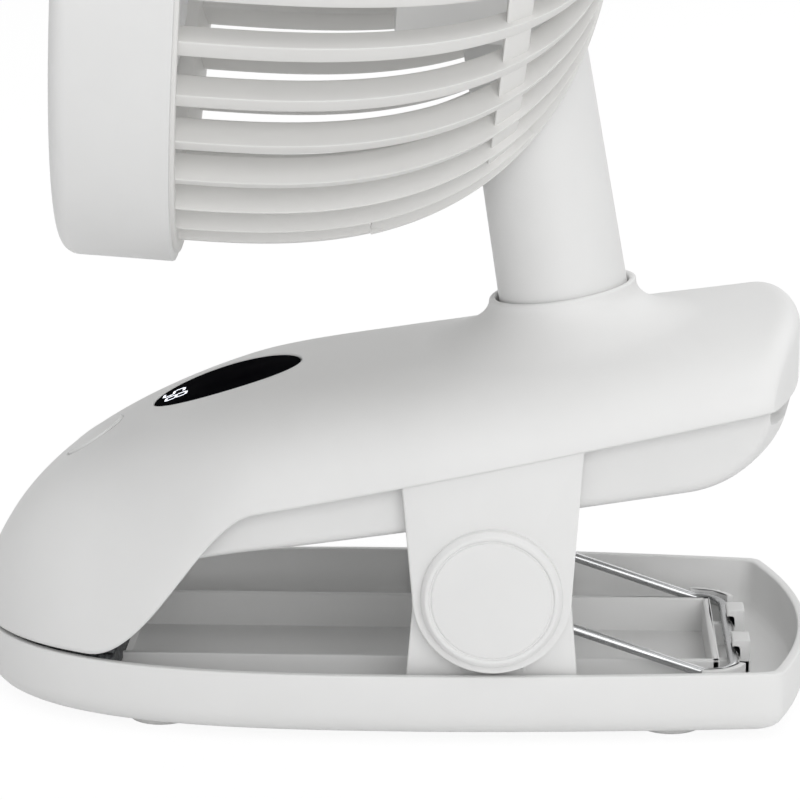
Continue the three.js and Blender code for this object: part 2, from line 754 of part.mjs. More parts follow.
/** Upper ear: it hangs from the shell's side and ends round about the pivot. */
function upperEarShape() {
  const top = (y) => lipAt(y) + 2.4;
  const shape = new THREE.Shape();
  const shoulder = EAR_RADIUS + 2;
  shape.moveTo(-shoulder, top(-shoulder));
  shape.lineTo(-shoulder, lipAt(-shoulder));
  shape.lineTo(-EAR_RADIUS, PIVOT_HEIGHT);
  shape.absarc(0, PIVOT_HEIGHT, EAR_RADIUS, Math.PI, 2 * Math.PI, false);
  shape.lineTo(shoulder, lipAt(shoulder));
  shape.lineTo(shoulder, top(shoulder));
  shape.closePath();
  return shape;
}

/** Places of the screws that hold the belly cover. */
function coverScrewPlaces() {
  return [
    ['front_left', -30, -50],
    ['front_right', 30, -50],
    ['rear_left', -29, 24],
    ['rear_right', 29, 24],
  ];
}

/** Angle of the shell's top line at a place, as a tangent. */
function crestSlopeAt(y) {
  return crestAt(y + 0.5) - crestAt(y - 0.5);
}

/** Moves a solid built about Z onto the shell's top line, square to it. */
function onCrest(solid, reach) {
  const turn = THREE.MathUtils.radToDeg(Math.atan(crestSlopeAt(-reach)));
  return solid.rotate([turn, 0, 0]).translate([0, -reach, crestAt(-reach)]);
}

/** Prism through the shell where the display sits. */
function displayPrism(extra, from, to) {
  const shape = ovalShape(DISPLAY_WIDTH + 2 * extra, DISPLAY_LENGTH + 2 * extra);
  return onCrest(slabZ(shape, from, to, 10), DISPLAY_REACH);
}

/** Y of the middle of the shell's rear face. */
function rearFace() {
  return shellRear() + REAR_BULGE;
}

/** Hole for the charging socket through the shell's rear wall. */
function socketHole(extra, from, to) {
  const half = SOCKET_WIDTH / 2 + extra;
  const rise = SOCKET_HEIGHT / 2 + extra;
  const shape = new THREE.Shape();
  shape.absarc(-half + rise, 0, rise, Math.PI / 2, (3 * Math.PI) / 2, false);
  shape.absarc(half - rise, 0, rise, -Math.PI / 2, Math.PI / 2, false);
  shape.closePath();
  return slabZ(shape, -to, -from, 6).rotate([90, 0, 0]).translate([0, 0, SOCKET_LEVEL]);
}

function topShell() {
  const outer = join(jawBody(0, 0), collarFlare());
  const cavity = jawBody(JAW_WALL, 4);
  const bosses = coverScrewPlaces().map(([, x, y]) => {
    const foot = bellyAt(y) + BELLY_WALL + FIT_GAP;
    return barZ(3.6, foot, crestAt(y), 10).translate([x, y, 0]).intersect(outer);
  });
  const ears = bothSides((side) => {
    const faces = [side * (EAR_OUTER - EAR_THICKNESS), side * EAR_OUTER].sort((a, b) => a - b);
    return slabX(upperEarShape(), faces[0], faces[1], 10);
  });
  const body = join(cut(outer, cavity), ...bosses, ...ears);
  const bore = onPostAxis(barZ(collarBore(), -COLLAR_DEPTH, LAP, 28));
  const spigotHole = onPostAxis(barZ(SPIGOT_RADIUS + RUNNING_GAP, -COLLAR_DEPTH - 8, LAP, 20));
  const pinHole = barX(
    PIN_RADIUS + FIT_GAP,
    -CLIP_HALF_WIDTH - LAP,
    CLIP_HALF_WIDTH + LAP,
    SMALL_ROUND_STEPS,
  ).translate([0, 0, PIVOT_HEIGHT]);
  const buttonHole = onCrest(barZ(BUTTON_RADIUS + FIT_GAP, -12, 4, 16), BUTTON_REACH);
  const pilots = coverScrewPlaces().map(([, x, y]) => (
    barZ(SCREW_RADIUS + FIT_GAP, bellyAt(y) - LAP, bellyAt(y) + 10, 12).translate([x, y, 0])
  ));
  return cut(
    body,
    bore,
    spigotHole,
    pinHole,
    buttonHole,
    displayPrism(FIT_GAP, -9, 6),
    socketHole(FIT_GAP, rearFace() - 8, rearFace() + 4),
    ...pilots,
  );
}

/** Belly form: the jaw's underside as a deep tub, inset from the shell. */
function bellyBody(inset, rise) {
  const rear = shellRear() - BELLY_SETBACK - inset;
  const start = -NOSE_REACH + BELLY_INSET + inset;
  const nose = spaced(0, 1, 4).map((share) => start + (-THROAT_START - start) * share ** 2);
  const throat = spaced(-THROAT_START, -THROAT_END, 5).slice(1);
  const back = spaced(-THROAT_END, BELLY_TAIL_START, 3).slice(1);
  const tail = spaced(0, 1, 3).slice(1).map((share) => BELLY_TAIL_START
    + (rear - BELLY_TAIL_START) * Math.sin((share * Math.PI) / 2));
  return loft([...nose, ...throat, ...back, ...tail].map((y) => {
    const halfWidth = Math.max(halfWidthAt(y, BELLY_INSET + inset), 0.8);
    const top = lipAt(y) + 3.4 + rise;
    const low = Math.min(bellyAt(y) + inset, top - 1);
    return archRing(y, halfWidth, top, low, BELLY_EXPONENTS);
  }), (ring) => zippedEnd(ring, true));
}

function bellyCover() {
  const tub = cut(bellyBody(0, 0), bellyBody(BELLY_WALL, 4));
  const boardPosts = boardPostPlaces().map(([x, y]) => (
    barZ(2.4, bellyAt(y) + BELLY_WALL - LAP, boardLevel() - FIT_GAP, 12).translate([x, y, 0])
  ));
  const cradles = cellPlaces().flatMap(([, y, z]) => bothSides((side) => (
    block(
      [side * 22 - 1, y - CELL_RADIUS * 0.8, bellyAt(y) + BELLY_WALL - LAP],
      [side * 22 + 1, y + CELL_RADIUS * 0.8, z - CELL_RADIUS * 0.3],
    )
  )));
  const cells = cellPlaces().map(([, y, z]) => (
    barX(CELL_RADIUS + FIT_GAP, -CELL_LENGTH / 2, CELL_LENGTH / 2, 18).translate([0, y, z])
  ));
  const screwHoles = coverScrewPlaces().flatMap(([, x, y]) => [
    barZ(SCREW_RADIUS + FIT_GAP, bellyAt(y) - LAP * 3, bellyAt(y) + 5, 12).translate([x, y, 0]),
    barZ(SCREW_HEAD_RADIUS + FIT_GAP, bellyAt(y) - LAP * 3, bellyAt(y) + 0.7, 12)
      .translate([x, y, 0]),
  ]);
  return cut(join(tub, ...boardPosts, ...cradles), ...cells, ...screwHoles);
}

/** Upper pad, glued under the belly cover's nose. */
function upperPad() {
  return mouthPad(upperPadLow(), upperPadLow() + PAD_THICKNESS, upperPadLow());
}

/** Round cover over the end of the pivot pin, with a raised rim and a flat middle. */
function pivotCap() {
  return turned([
    [0, 0],
    [CAP_RADIUS - 0.3, 0],
    [CAP_RADIUS, 0.5],
    [CAP_RADIUS, CAP_THICKNESS - 0.9],
    [CAP_RADIUS - 0.9, CAP_THICKNESS],
    [CAP_LINE_RADIUS + 0.25, CAP_THICKNESS],
    [CAP_LINE_RADIUS, CAP_THICKNESS - 0.35],
    [CAP_LINE_RADIUS - 0.25, CAP_THICKNESS - 0.1],
    [0, CAP_THICKNESS - 0.1],
  ], 28).rotate([0, 0, -90]).translate([EAR_OUTER + FIT_GAP, 0, PIVOT_HEIGHT]);
}

/** Black window, flush with the shell's skin. */
function displayWindow() {
  return cut(jawBody(0, 0), jawBody(WINDOW_THICKNESS, 4)).intersect(displayPrism(0, -8, 6));
}

/** Two-digit light module behind the window. */
function digitModule() {
  const module = block([-8, -11, -5], [8, 11, -WINDOW_THICKNESS - 1.4]);
  return onCrest(module, DISPLAY_REACH);
}

/** Push button: a crowned disc with a flange behind the shell. */
function powerButton() {
  const crown = spaced(0, 1, 4).map((share) => [
    BUTTON_RADIUS * share,
    BUTTON_PROUD - 0.7 * share ** 3,
  ]);
  const flangeTop = -JAW_WALL * 1.7 - FIT_GAP;
  return onCrest(upright(turned([
    ...crown,
    [BUTTON_RADIUS, flangeTop],
    [BUTTON_RADIUS + 1.4, flangeTop],
    [BUTTON_RADIUS + 1.4, flangeTop - 1],
    [0, flangeTop - 1],
  ], 16)), BUTTON_REACH);
}

/** Travel direction of the button, into the shell. */
function buttonAxis() {
  const slope = crestSlopeAt(-BUTTON_REACH);
  return new THREE.Vector3(0, slope, -1).normalize();
}

function cellPlaces() {
  return ['front', 'rear'].map((name, at) => {
    const y = -CELL_REACH + CELL_PITCH * at;
    const lean = Math.cos(Math.atan(BELLY_SLOPE));
    return [name, y, bellyAt(y) + (BELLY_WALL + CELL_RADIUS + FIT_GAP) / lean];
  });
}

/** A battery cell with its small raised terminal. */
function batteryCell(y, z) {
  const half = CELL_LENGTH / 2;
  return turned([
    [0, -half],
    [CELL_RADIUS - 0.5, -half],
    [CELL_RADIUS, -half + 0.5],
    [CELL_RADIUS, half - 2.5],
    [CELL_RADIUS - 0.8, half - 1],
    [3, half - 1],
    [3, half],
    [0, half],
  ], 18).rotate([0, 0, -90]).translate([0, y, z]);
}

/** Underside of the circuit board: the charging socket sits on top of it. */
function boardLevel() {
  return SOCKET_LEVEL - SOCKET_HEIGHT / 2 - FIT_GAP - BOARD_THICKNESS;
}

function boardRear() {
  return rearFace() - 7.2;
}

function boardPostPlaces() {
  return bothSides((side) => [side * (BOARD_HALF_WIDTH - 4), boardRear() - BOARD_LENGTH + 4]);
}

function mainBoard() {
  const low = boardLevel();
  return block(
    [-BOARD_HALF_WIDTH, boardRear() - BOARD_LENGTH, low],
    [BOARD_HALF_WIDTH, boardRear(), low + BOARD_THICKNESS],
  );
}

/** Charging socket: a flattened tube with a tongue. */
function chargeSocket() {
  const rear = rearFace() - 0.8;
  const shell = socketHole(0, rear - SOCKET_LENGTH, rear);
  const mouth = socketHole(-0.4, rear - SOCKET_LENGTH + 1.2, rear + LAP);
  const tongue = block(
    [-3, rear - SOCKET_LENGTH + LAP, SOCKET_LEVEL - 0.35],
    [3, rear - 1.5, SOCKET_LEVEL + 0.35],
  );
  return join(cut(shell, mouth), tongue);
}

/** A pan-head screw pointing along +Z, with its head at the bottom. */
function screw(headRadius, shankRadius, length) {
  return upright(turned([
    [0, 0],
    [headRadius - 0.5, 0],
    [headRadius, 0.5],
    [headRadius, 1.2],
    [shankRadius, 1.2],
    [shankRadius, length - 0.8],
    [0, length],
  ], 10));
}

/** Low ring under the collar, between the shell and the retainer. */
function swivelWasher() {
  const top = -COLLAR_DEPTH - collarFloor() - FIT_GAP;
  return upright(turnedRing([
    [SPIGOT_RADIUS + FIT_GAP, top - 0.8],
    [RETAINER_RADIUS, top - 0.8],
    [RETAINER_RADIUS, top],
    [SPIGOT_RADIUS + FIT_GAP, top],
  ], 20));
}

/** Thickness of the collar's floor, from the bore's end to the lowest place of the shell's inside. */
function collarFloor() {
  const slope = Math.abs(Math.atan(CREST_SLOPE) - THREE.MathUtils.degToRad(POST_LEAN_DEGREES));
  const inside = COLLAR_HEIGHT - COLLAR_DEPTH - (crestAt(POST_FOOT_REACH) - JAW_WALL);
  return Math.max(inside + Math.sin(slope) * RETAINER_RADIUS + 1.2, 2);
}

// ---------- Neck ----------

/** Radius of the post's body some way below the tilt pin. */
function postRadiusBelow(drop) {
  return POST_TOP_RADIUS + ((POST_FOOT_RADIUS - POST_TOP_RADIUS) * drop) / POST_LENGTH;
}

/** X of the inner faces of the lugs that the post's knuckle turns between. */
function lugInner() {
  return postRadiusBelow(LUG_DROP * 1.2) + RUNNING_GAP;
}

/** Level of the spigot's lower end, along the post's axis. */
function spigotEnd() {
  return -COLLAR_DEPTH - collarFloor() - FIT_GAP * 2 - 0.8 - RETAINER_THICKNESS - FIT_GAP;
}

/** Hollow tapered post: a spigot below, and a ball-ended knuckle about the tilt pin on top. */
function neckPost() {
  const seat = -COLLAR_DEPTH + FIT_GAP;
  const end = spigotEnd();
  const ball = spaced(Math.PI / 2, 0, 4).map((turn) => [
    POST_TOP_RADIUS * Math.cos(turn),
    POST_LENGTH + POST_TOP_RADIUS * Math.sin(turn),
  ]);
  const boreTop = POST_LENGTH - POST_TOP_RADIUS;
  const post = upright(turned([
    ...ball,
    [POST_FOOT_RADIUS, 0],
    [POST_FOOT_RADIUS, seat],
    [SPIGOT_RADIUS, seat],
    [SPIGOT_RADIUS, end],
    [POST_BORE, end],
    [POST_BORE, boreTop - POST_BORE],
    [0, boreTop],
  ], 28));
  const pinHole = barX(
    TILT_PIN_RADIUS + FIT_GAP,
    -POST_TOP_RADIUS - LAP,
    POST_TOP_RADIUS + LAP,
    SMALL_ROUND_STEPS,
  ).translate([0, 0, POST_LENGTH]);
  return cut(post, pinHole);
}

/** Ring clipped on the spigot under the shell, which holds the post down. */
function swivelRetainer() {
  const low = spigotEnd() + FIT_GAP;
  return upright(turnedRing([
    [SPIGOT_RADIUS + FIT_GAP, low],
    [RETAINER_RADIUS, low],
    [RETAINER_RADIUS, low + RETAINER_THICKNESS],
    [SPIGOT_RADIUS + FIT_GAP, low + RETAINER_THICKNESS],
  ], 20));
}

// ---------- Head, built about its own axis along Y, with the tilt pin at its origin ----------

/** Y of the ring's rear edge, where the cage starts. */
const cageFront = -RING_REACH;

/** A point of the dome's outer profile and its outward normal, at a turn from ring to pole. */
function domeProfile(turn) {
  const along = DOME_DEPTH * Math.sin(turn) ** (2 / 2.7);
  const radius = SLAT_RADIUS * Math.max(Math.cos(turn), 0) ** (2 / 2.3);
  const share = along / DOME_DEPTH;
  const wide = radius / SLAT_RADIUS;
  const normal = new THREE.Vector2(
    (wide ** 1.3 * 2.3) / SLAT_RADIUS,
    (share ** 1.7 * 2.7) / DOME_DEPTH,
  ).normalize();
  return { radius, y: cageFront + along, normal };
}

/** One slat: a curved fin on a meridian, with its ridge over and past its lower corner on both sides. */
function slat(angle) {
  const outwards = new THREE.Vector3(Math.sin(angle), 0, -Math.cos(angle));
  const side = Math.sign(Math.sin(angle));
  const upwards = new THREE.Vector3(side * Math.cos(angle), 0, side * Math.sin(angle));
  const along = new THREE.Vector3(0, 1, 0);
  const turns = [0, 21, 42, 60, 77].map((degrees) => THREE.MathUtils.degToRad(degrees));
  return loft(turns.map((turn, at) => {
    const { radius, y, normal } = domeProfile(turn);
    const wide = radius / SLAT_RADIUS;
    const depth = SLAT_DEPTH * (0.3 + 0.7 * wide);
    const start = at === 0 ? -BAND_OVERLAP : 0;
    const corner = (out, up) => new THREE.Vector3()
      .addScaledVector(outwards, radius + normal.x * out)
      .addScaledVector(along, y + normal.y * out + start)
      .addScaledVector(upwards, up);
    const ridge = SLAT_THICKNESS * wide;
    return [
      corner(0, 0),
      corner(SLAT_LEAN * wide, ridge),
      corner(SLAT_LEAN * wide - depth, ridge),
      corner(-depth, ridge * 0.45),
    ];
  }));
}

/** Radius of the dome at a place along its axis. */
function domeRadiusAt(y) {
  const share = Math.min((y - cageFront) / DOME_DEPTH, 1);
  return SLAT_RADIUS * (1 - share ** 2.7) ** (1 / 2.3);
}

/** Radius at a place along the axis of the slats' ridges, which the slot's frame is flush with. */
function ridgeRadiusAt(y) {
  return domeRadiusAt(y) * (1 + SLAT_LEAN / SLAT_RADIUS);
}

/** Place along the dome's axis where it has a radius. */
function domePlaceOf(radius) {
  return cageFront + DOME_DEPTH * (1 - (radius / SLAT_RADIUS) ** 2.3) ** (1 / 2.7);
}

/** Outline across X and Z of the slot that the neck swings in. */
function slotPrism() {
  const shape = new THREE.Shape();
  shape.moveTo(-SLOT_HALF_WIDTH, -SLAT_RADIUS - SLAT_DEPTH);
  shape.lineTo(SLOT_HALF_WIDTH, -SLAT_RADIUS - SLAT_DEPTH);
  shape.absellipse(0, SLOT_TOP - 9, SLOT_HALF_WIDTH, 9, 0, Math.PI, false);
  shape.closePath();
  return slabZ(shape, -DOME_DEPTH, SLOT_FRONT_REACH, 8).rotate([90, 0, 0]);
}

/** Rail along one side of the slot, which follows the dome from the cross bar to the pole plate. */
function slotRail(side) {
  const middle = SLOT_HALF_WIDTH + SLOT_FRAME / 2;
  const last = domePlaceOf(POLE_PLATE_RADIUS);
  const line = spaced(0, 1, 6).map((share) => {
    const y = -SLOT_FRONT_REACH - SLOT_FRAME
      + (last + SLOT_FRONT_REACH + SLOT_FRAME) * (1 - (1 - share) ** 1.6);
    return [y, -Math.sqrt(Math.max(ridgeRadiusAt(y) ** 2 - middle ** 2, 0))];
  });
  const inner = line.map(([y, z]) => [y - 3.2 * smooth(y, -12, last), z + 5.2]).reverse();
  const faces = [side * SLOT_HALF_WIDTH, side * (SLOT_HALF_WIDTH + SLOT_FRAME)];
  return slabX(cornerShape([...line, ...inner]), Math.min(...faces), Math.max(...faces));
}

/** Bar across the front of the slot, on the dome's arc. */
function slotCrossBar() {
  const radius = ridgeRadiusAt(-SLOT_FRONT_REACH);
  const half = Math.asin((SLOT_HALF_WIDTH + SLOT_FRAME) / radius);
  const shape = new THREE.Shape();
  shape.absarc(0, 0, radius, -Math.PI / 2 - half, -Math.PI / 2 + half, false);
  shape.absarc(0, 0, radius - 5.2, -Math.PI / 2 + half, -Math.PI / 2 - half, true);
  shape.closePath();
  const front = SLOT_FRONT_REACH + SLOT_FRAME;
  return slabZ(shape, SLOT_FRONT_REACH, front, 4).rotate([90, 0, 0]);
}

/** The front band that the slats grow from, nested in the front ring. */
function cageBand() {
  const inner = SLAT_RADIUS - SLAT_DEPTH - 0.6;
  const outer = RING_RADIUS - RING_WALL - FIT_GAP;
  return turnedRing([
    [inner, cageFront - 5],
    [outer, cageFront - 5],
    [outer, cageFront - 1.6],
    [inner, cageFront - 1.6],
  ], SLAT_COUNT);
}

/** The hoop inside the slats. */
function cageHoop() {
  const ends = [HOOP_REACH - HOOP_WIDTH / 2, HOOP_REACH + HOOP_WIDTH / 2];
  const corner = (y, drop) => [domeRadiusAt(y) - drop, y];
  return turnedRing([
    corner(ends[0], 7.6),
    corner(ends[0], 2),
    corner(ends[1], 2),
    corner(ends[1], 7.6),
  ], SLAT_COUNT);
}

/** Space that the slot's frame and its pole plate need, which the slats stop short of. */
function slotFrameSpace() {
  const half = SLOT_HALF_WIDTH + SLOT_FRAME + FIT_GAP;
  const front = -SLOT_FRONT_REACH - SLOT_FRAME - FIT_GAP;
  const legs = block([-half, front, -RING_RADIUS], [half, DOME_DEPTH, 0]);
  return join(legs, barY(POLE_PLATE_RADIUS + FIT_GAP, front, DOME_DEPTH, SLAT_COUNT));
}

function cagePanelPlaces() {
  return [
    ['lower_right', 1, -1],
    ['upper_right', 1, 1],
    ['upper_left', -1, 1],
    ['lower_left', -1, -1],
  ];
}

/** A quarter of the rear cage: ten slats on their stretch of the band and the hoop. */
function cagePanel(sideX, sideZ) {
  const step = (2 * Math.PI) / SLAT_COUNT;
  const slats = Array.from({ length: SLAT_COUNT }, (_, at) => (at + 0.5) * step)
    .filter((angle) => Math.sin(angle) * sideX > 0 && -Math.cos(angle) * sideZ > 0)
    .map(slat);
  const near = FIT_GAP / 2;
  const far = RING_RADIUS + LAP;
  const span = (side) => (side > 0 ? [near, far] : [-far, -near]);
  const quarter = block(
    [span(sideX)[0], -RING_RADIUS - LAP, span(sideZ)[0]],
    [span(sideX)[1], DOME_DEPTH, span(sideZ)[1]],
  );
  return cut(join(cageBand(), cageHoop(), ...slats).intersect(quarter), slotFrameSpace());
}

/** Frame of the neck's slot: a pole plate, two rails and a cross bar, which the slats end on. */
function slotFrame() {
  const rim = domePlaceOf(POLE_PLATE_RADIUS);
  const plate = turned([
    [0, domePlaceOf(0) + POLE_PLATE_PROUD],
    [POLE_PLATE_RADIUS, rim + POLE_PLATE_PROUD],
    [POLE_PLATE_RADIUS, rim - POLE_PLATE_THICKNESS],
    [0, rim - POLE_PLATE_THICKNESS],
  ], SLAT_COUNT);
  const screwHoles = bridgeScrewPlaces().map(([, x, z]) => (
    barY(SCREW_RADIUS + FIT_GAP, 0, DOME_DEPTH, 10).translate([x, 0, z])
  ));
  const body = join(plate, ...bothSides(slotRail), slotCrossBar());
  return cut(body, slotPrism(), ...screwHoles);
}

/** Screws that fix the motor bracket's bridge to the cage's pole plate. */
function bridgeScrewPlaces() {
  return [['left', -6, SLOT_TOP + SLOT_FRAME + 6.4], ['right', 6, SLOT_TOP + SLOT_FRAME + 6.4]];
}

/** Inner face of the pole plate, where the bridge ends. */
function bridgeEnd() {
  return domePlaceOf(POLE_PLATE_RADIUS) - POLE_PLATE_THICKNESS - FIT_GAP;
}

/** Motor bracket: a round plate, two lugs for the tilt pin and a bridge back to the cage. */
function motorBracket() {
  const plate = barY(MOTOR_RADIUS, -MOTOR_REAR, -MOTOR_REAR + 2.6);
  const lugShape = () => {
    const shape = new THREE.Shape();
    const front = -MOTOR_REAR;
    shape.moveTo(front, -LUG_DROP);
    shape.lineTo(LUG_RISE - 6, -LUG_DROP);
    shape.absarc(LUG_RISE - 6, -LUG_DROP + 3, 3, -Math.PI / 2, 0, false);
    shape.absarc(0, 0, LUG_RISE, 0, Math.PI / 2, false);
    shape.lineTo(front, LUG_RISE);
    shape.closePath();
    return shape;
  };
  const lugs = bothSides((side) => {
    const faces = [side * lugInner(), side * (lugInner() + LUG_THICKNESS)].sort((a, b) => a - b);
    return slabX(lugShape(), faces[0], faces[1], 8);
  });
  const plateWeb = block(
    [-lugInner() - LAP, -MOTOR_REAR, -LUG_DROP],
    [lugInner() + LAP, -MOTOR_REAR + 2.6, LUG_RISE],
  );
  const bridge = block(
    [-lugInner() - LAP, -MOTOR_REAR, POST_TOP_RADIUS + RUNNING_GAP],
    [lugInner() + LAP, bridgeEnd() - 4, POST_TOP_RADIUS + RUNNING_GAP + 2.6],
  );
  const heel = block(
    [-10, bridgeEnd() - 6, SLOT_TOP + SLOT_FRAME + 3.2],
    [10, bridgeEnd(), POST_TOP_RADIUS + RUNNING_GAP + 2.6],
  );
  const pinHole = barX(TILT_PIN_RADIUS + FIT_GAP, -RING_RADIUS, RING_RADIUS, SMALL_ROUND_STEPS);
  const motorScrews = motorScrewPlaces().map(([, x, z]) => (
    barY(SCREW_RADIUS + FIT_GAP, -MOTOR_REAR - LAP, -MOTOR_REAR + 2.6 + LAP, 12)
      .translate([x, 0, z])
  ));
  const pilots = bridgeScrewPlaces().map(([, x, z]) => (
    barY(SCREW_RADIUS + FIT_GAP, bridgeEnd() - 9, bridgeEnd() + LAP, 12).translate([x, 0, z])
  ));
  return cut(join(plate, ...lugs, plateWeb, bridge, heel), pinHole, ...motorScrews, ...pilots);
}

/** Screws through the bracket's plate into the motor case. */
function motorScrewPlaces() {
  return [['upper', 0, 8], ['lower_left', -7, -6], ['lower_right', 7, -6]];
}

/** Motor case: a cup that closes on the bracket's plate. */
function motorCase() {
  const rear = -MOTOR_REAR - FIT_GAP;
  const front = -MOTOR_FRONT;
  const cup = turned([
    [0, front],
    [MOTOR_RADIUS - 3, front],
    [MOTOR_RADIUS - 0.6, front + 2.4],
    [MOTOR_RADIUS, front + 5],
    [MOTOR_RADIUS, rear],
    [MOTOR_RADIUS - 1.6, rear],
    [MOTOR_RADIUS - 1.6, front + 5],
    [MOTOR_RADIUS - 3.5, front + 2],
    [0, front + 2],
  ]);
  return cut(cup, barY(SHAFT_RADIUS + 1.2, front - LAP, front + 4, SMALL_ROUND_STEPS));
}

/** The motor itself: a plain can with a front boss. */
function motorCan() {
  const rear = -MOTOR_REAR - FIT_GAP - 0.6 - screwReach();
  const front = -MOTOR_FRONT + 2 + FIT_GAP;
  const radius = MOTOR_RADIUS - 1.6 - FIT_GAP - 1.2;
  const can = turned([
    [0, front],
    [4, front],
    [4, front + 1.2],
    [radius - 1, front + 1.6],
    [radius, front + 3.2],
    [radius, rear - 1],
    [radius - 1, rear],
    [0, rear],
  ]);
  const bore = barY(SHAFT_RADIUS + FIT_GAP, front - LAP, front + 14, SMALL_ROUND_STEPS);
  const pilots = motorScrewPlaces().map(([, x, z]) => (
    barY(SCREW_RADIUS + FIT_GAP, rear - 5, rear + LAP, 12).translate([x, 0, z])
  ));
  return cut(can, bore, ...pilots);
}

/** Space behind the motor for its wires. */
function screwReach() {
  return 0.6;
}

/** Front ring: a deep hoop with rounded front corner and a lip that holds the grille. */
function frontRing() {
  const rear = cageFront;
  const front = rear - RING_WIDTH;
  const corner = spaced(0, Math.PI / 2, 3).map((turn) => [
    RING_RADIUS - RING_ROUND + RING_ROUND * Math.cos(turn),
    front + RING_ROUND - RING_ROUND * Math.sin(turn),
  ]);
  const inner = RING_RADIUS - RING_WALL;
  return turnedRing([
    [RING_RADIUS, rear],
    ...corner,
    [inner - 2.4, front],
    [inner - 2.4, front + 1.6],
    [inner, front + 3],
    [inner, rear],
  ], 48);
}

/** Front grille: swept spokes between an outer band and a centre plate, with one ring between. */
function frontGrille() {
  const front = cageFront - RING_WIDTH + 3 + FIT_GAP;
  const rear = front + GRILLE_SPOKE_DEPTH;
  const outer = RING_RADIUS - RING_WALL - FIT_GAP;
  const band = turnedRing([
    [outer - 3, front],
    [outer, front],
    [outer, rear + 1.4],
    [outer - 3, rear + 1.4],
  ], 2 * GRILLE_SPOKES);
  const middle = turned([
    [0, front - 0.6],
    [GRILLE_CAP_RADIUS + 1.5, front - 0.6],
    [GRILLE_CAP_RADIUS + 2.5, front + 0.4],
    [GRILLE_CAP_RADIUS + 2.5, rear],
    [0, rear],
  ], GRILLE_SPOKES);
  const halfRing = GRILLE_SPOKE_THICKNESS / 2;
  const ring = turnedRing([
    [GRILLE_RING_RADIUS - halfRing, front + 0.4],
    [GRILLE_RING_RADIUS + halfRing, front + 0.4],
    [GRILLE_RING_RADIUS + halfRing, rear - 0.2],
    [GRILLE_RING_RADIUS - halfRing, rear - 0.2],
  ], GRILLE_SPOKES);
  const sweep = THREE.MathUtils.degToRad(GRILLE_SWEEP_DEGREES);
  const spokes = Array.from({ length: GRILLE_SPOKES }, (_, at) => {
    const start = (at * 2 * Math.PI) / GRILLE_SPOKES;
    return loft(spaced(0, 1, 3).map((share) => {
      const radius = GRILLE_CAP_RADIUS + (outer - 1 - GRILLE_CAP_RADIUS) * share;
      const angle = start + sweep * share ** 1.5;
      const half = (GRILLE_SPOKE_THICKNESS / 2) * (0.6 + 0.4 * share);
      const radial = new THREE.Vector3(Math.sin(angle), 0, Math.cos(angle));
      const across = new THREE.Vector3(Math.cos(angle), 0, -Math.sin(angle));
      const corner = (side, y) => radial.clone().multiplyScalar(radius)
        .addScaledVector(across, side * half)
        .setY(y);
      return [corner(-1, front), corner(1, front), corner(1, rear), corner(-1, rear)];
    }));
  });
  return cut(
    join(band, middle, ring, ...spokes),
    barY(GRILLE_CAP_RADIUS + FIT_GAP, front - 2, front + 0.9),
  );
}

/** Plain crowned cap in the middle of the grille. */
function grilleCap() {
  const seat = cageFront - RING_WIDTH + 3 + FIT_GAP + 0.9 - FIT_GAP;
  const crown = spaced(0, 1, 4).map((share) => [
    GRILLE_CAP_RADIUS * share,
    seat - 1.6 + 0.7 * share ** 2,
  ]);
  return turned([...crown, [GRILLE_CAP_RADIUS, seat], [0, seat]]);
}

// ---------- Rotor ----------

/** Y of the blades' rear edges. */
function bladeRear() {
  return cageFront - RING_WIDTH + 3 + FIT_GAP + GRILLE_SPOKE_DEPTH + 1.4 + BLADE_ZONE;
}

/** One blade: a twisted, cambered sheet from the hub to its round tip. */
function blade(angle) {
  const middle = bladeRear() - BLADE_ZONE / 2;
  const stations = spaced(0, 1, 4);
  return loft(stations.map((share) => {
    const radius = HUB_RADIUS - 1.2 + (BLADE_TIP_RADIUS - HUB_RADIUS + 1.2) * share;
    const halfRise = (BLADE_ZONE / 2 - 0.6) * (0.95 - 0.35 * share ** 2);
    const halfSweep = ((Math.PI / BLADE_COUNT) * (0.82 - 0.1 * share ** 3));
    const lead = 0.18 * share;
    const point = (across, offset) => {
      const turn = angle + lead + halfSweep * across;
      const camber = 1.2 * (1 - across ** 2);
      return new THREE.Vector3(
        radius * Math.sin(turn),
        middle + halfRise * across + camber + offset,
        radius * Math.cos(turn),
      );
    };
    const thin = (across) => (BLADE_THICKNESS / 2) * (1 - 0.6 * across ** 2);
    const crossings = spaced(-1, 1, 3);
    return [
      ...crossings.map((across) => point(across, thin(across))),
      ...crossings.slice().reverse().map((across) => point(across, -thin(across))),
    ];
  }));
}

/** Hub and blades in one moulding, hollow behind. */
function impeller() {
  const rear = bladeRear() + 4;
  const front = bladeRear() - BLADE_ZONE + 0.6;
  const hub = turned([
    [0, front],
    [HUB_RADIUS - 3, front],
    [HUB_RADIUS, front + 3],
    [HUB_RADIUS, rear],
    [HUB_RADIUS - 1.8, rear],
    [HUB_RADIUS - 1.8, front + 3.4],
    [5, front + 2.4],
    [4, rear - 2],
    [0, rear - 2],
  ], 21);
  const step = (2 * Math.PI) / BLADE_COUNT;
  const blades = Array.from({ length: BLADE_COUNT }, (_, at) => blade(at * step));
  const bore = barY(SHAFT_RADIUS + FIT_GAP, front + 1.6, rear, SMALL_ROUND_STEPS);
  return cut(join(hub, ...blades), bore);
}

/** Steel shaft from inside the motor to the hub. */
function motorShaft() {
  const front = bladeRear() - BLADE_ZONE + 0.6 + 1.6 + FIT_GAP;
  const rear = -MOTOR_FRONT + 2 + FIT_GAP + 13;
  return barY(SHAFT_RADIUS, front, rear, SMALL_ROUND_STEPS);
}

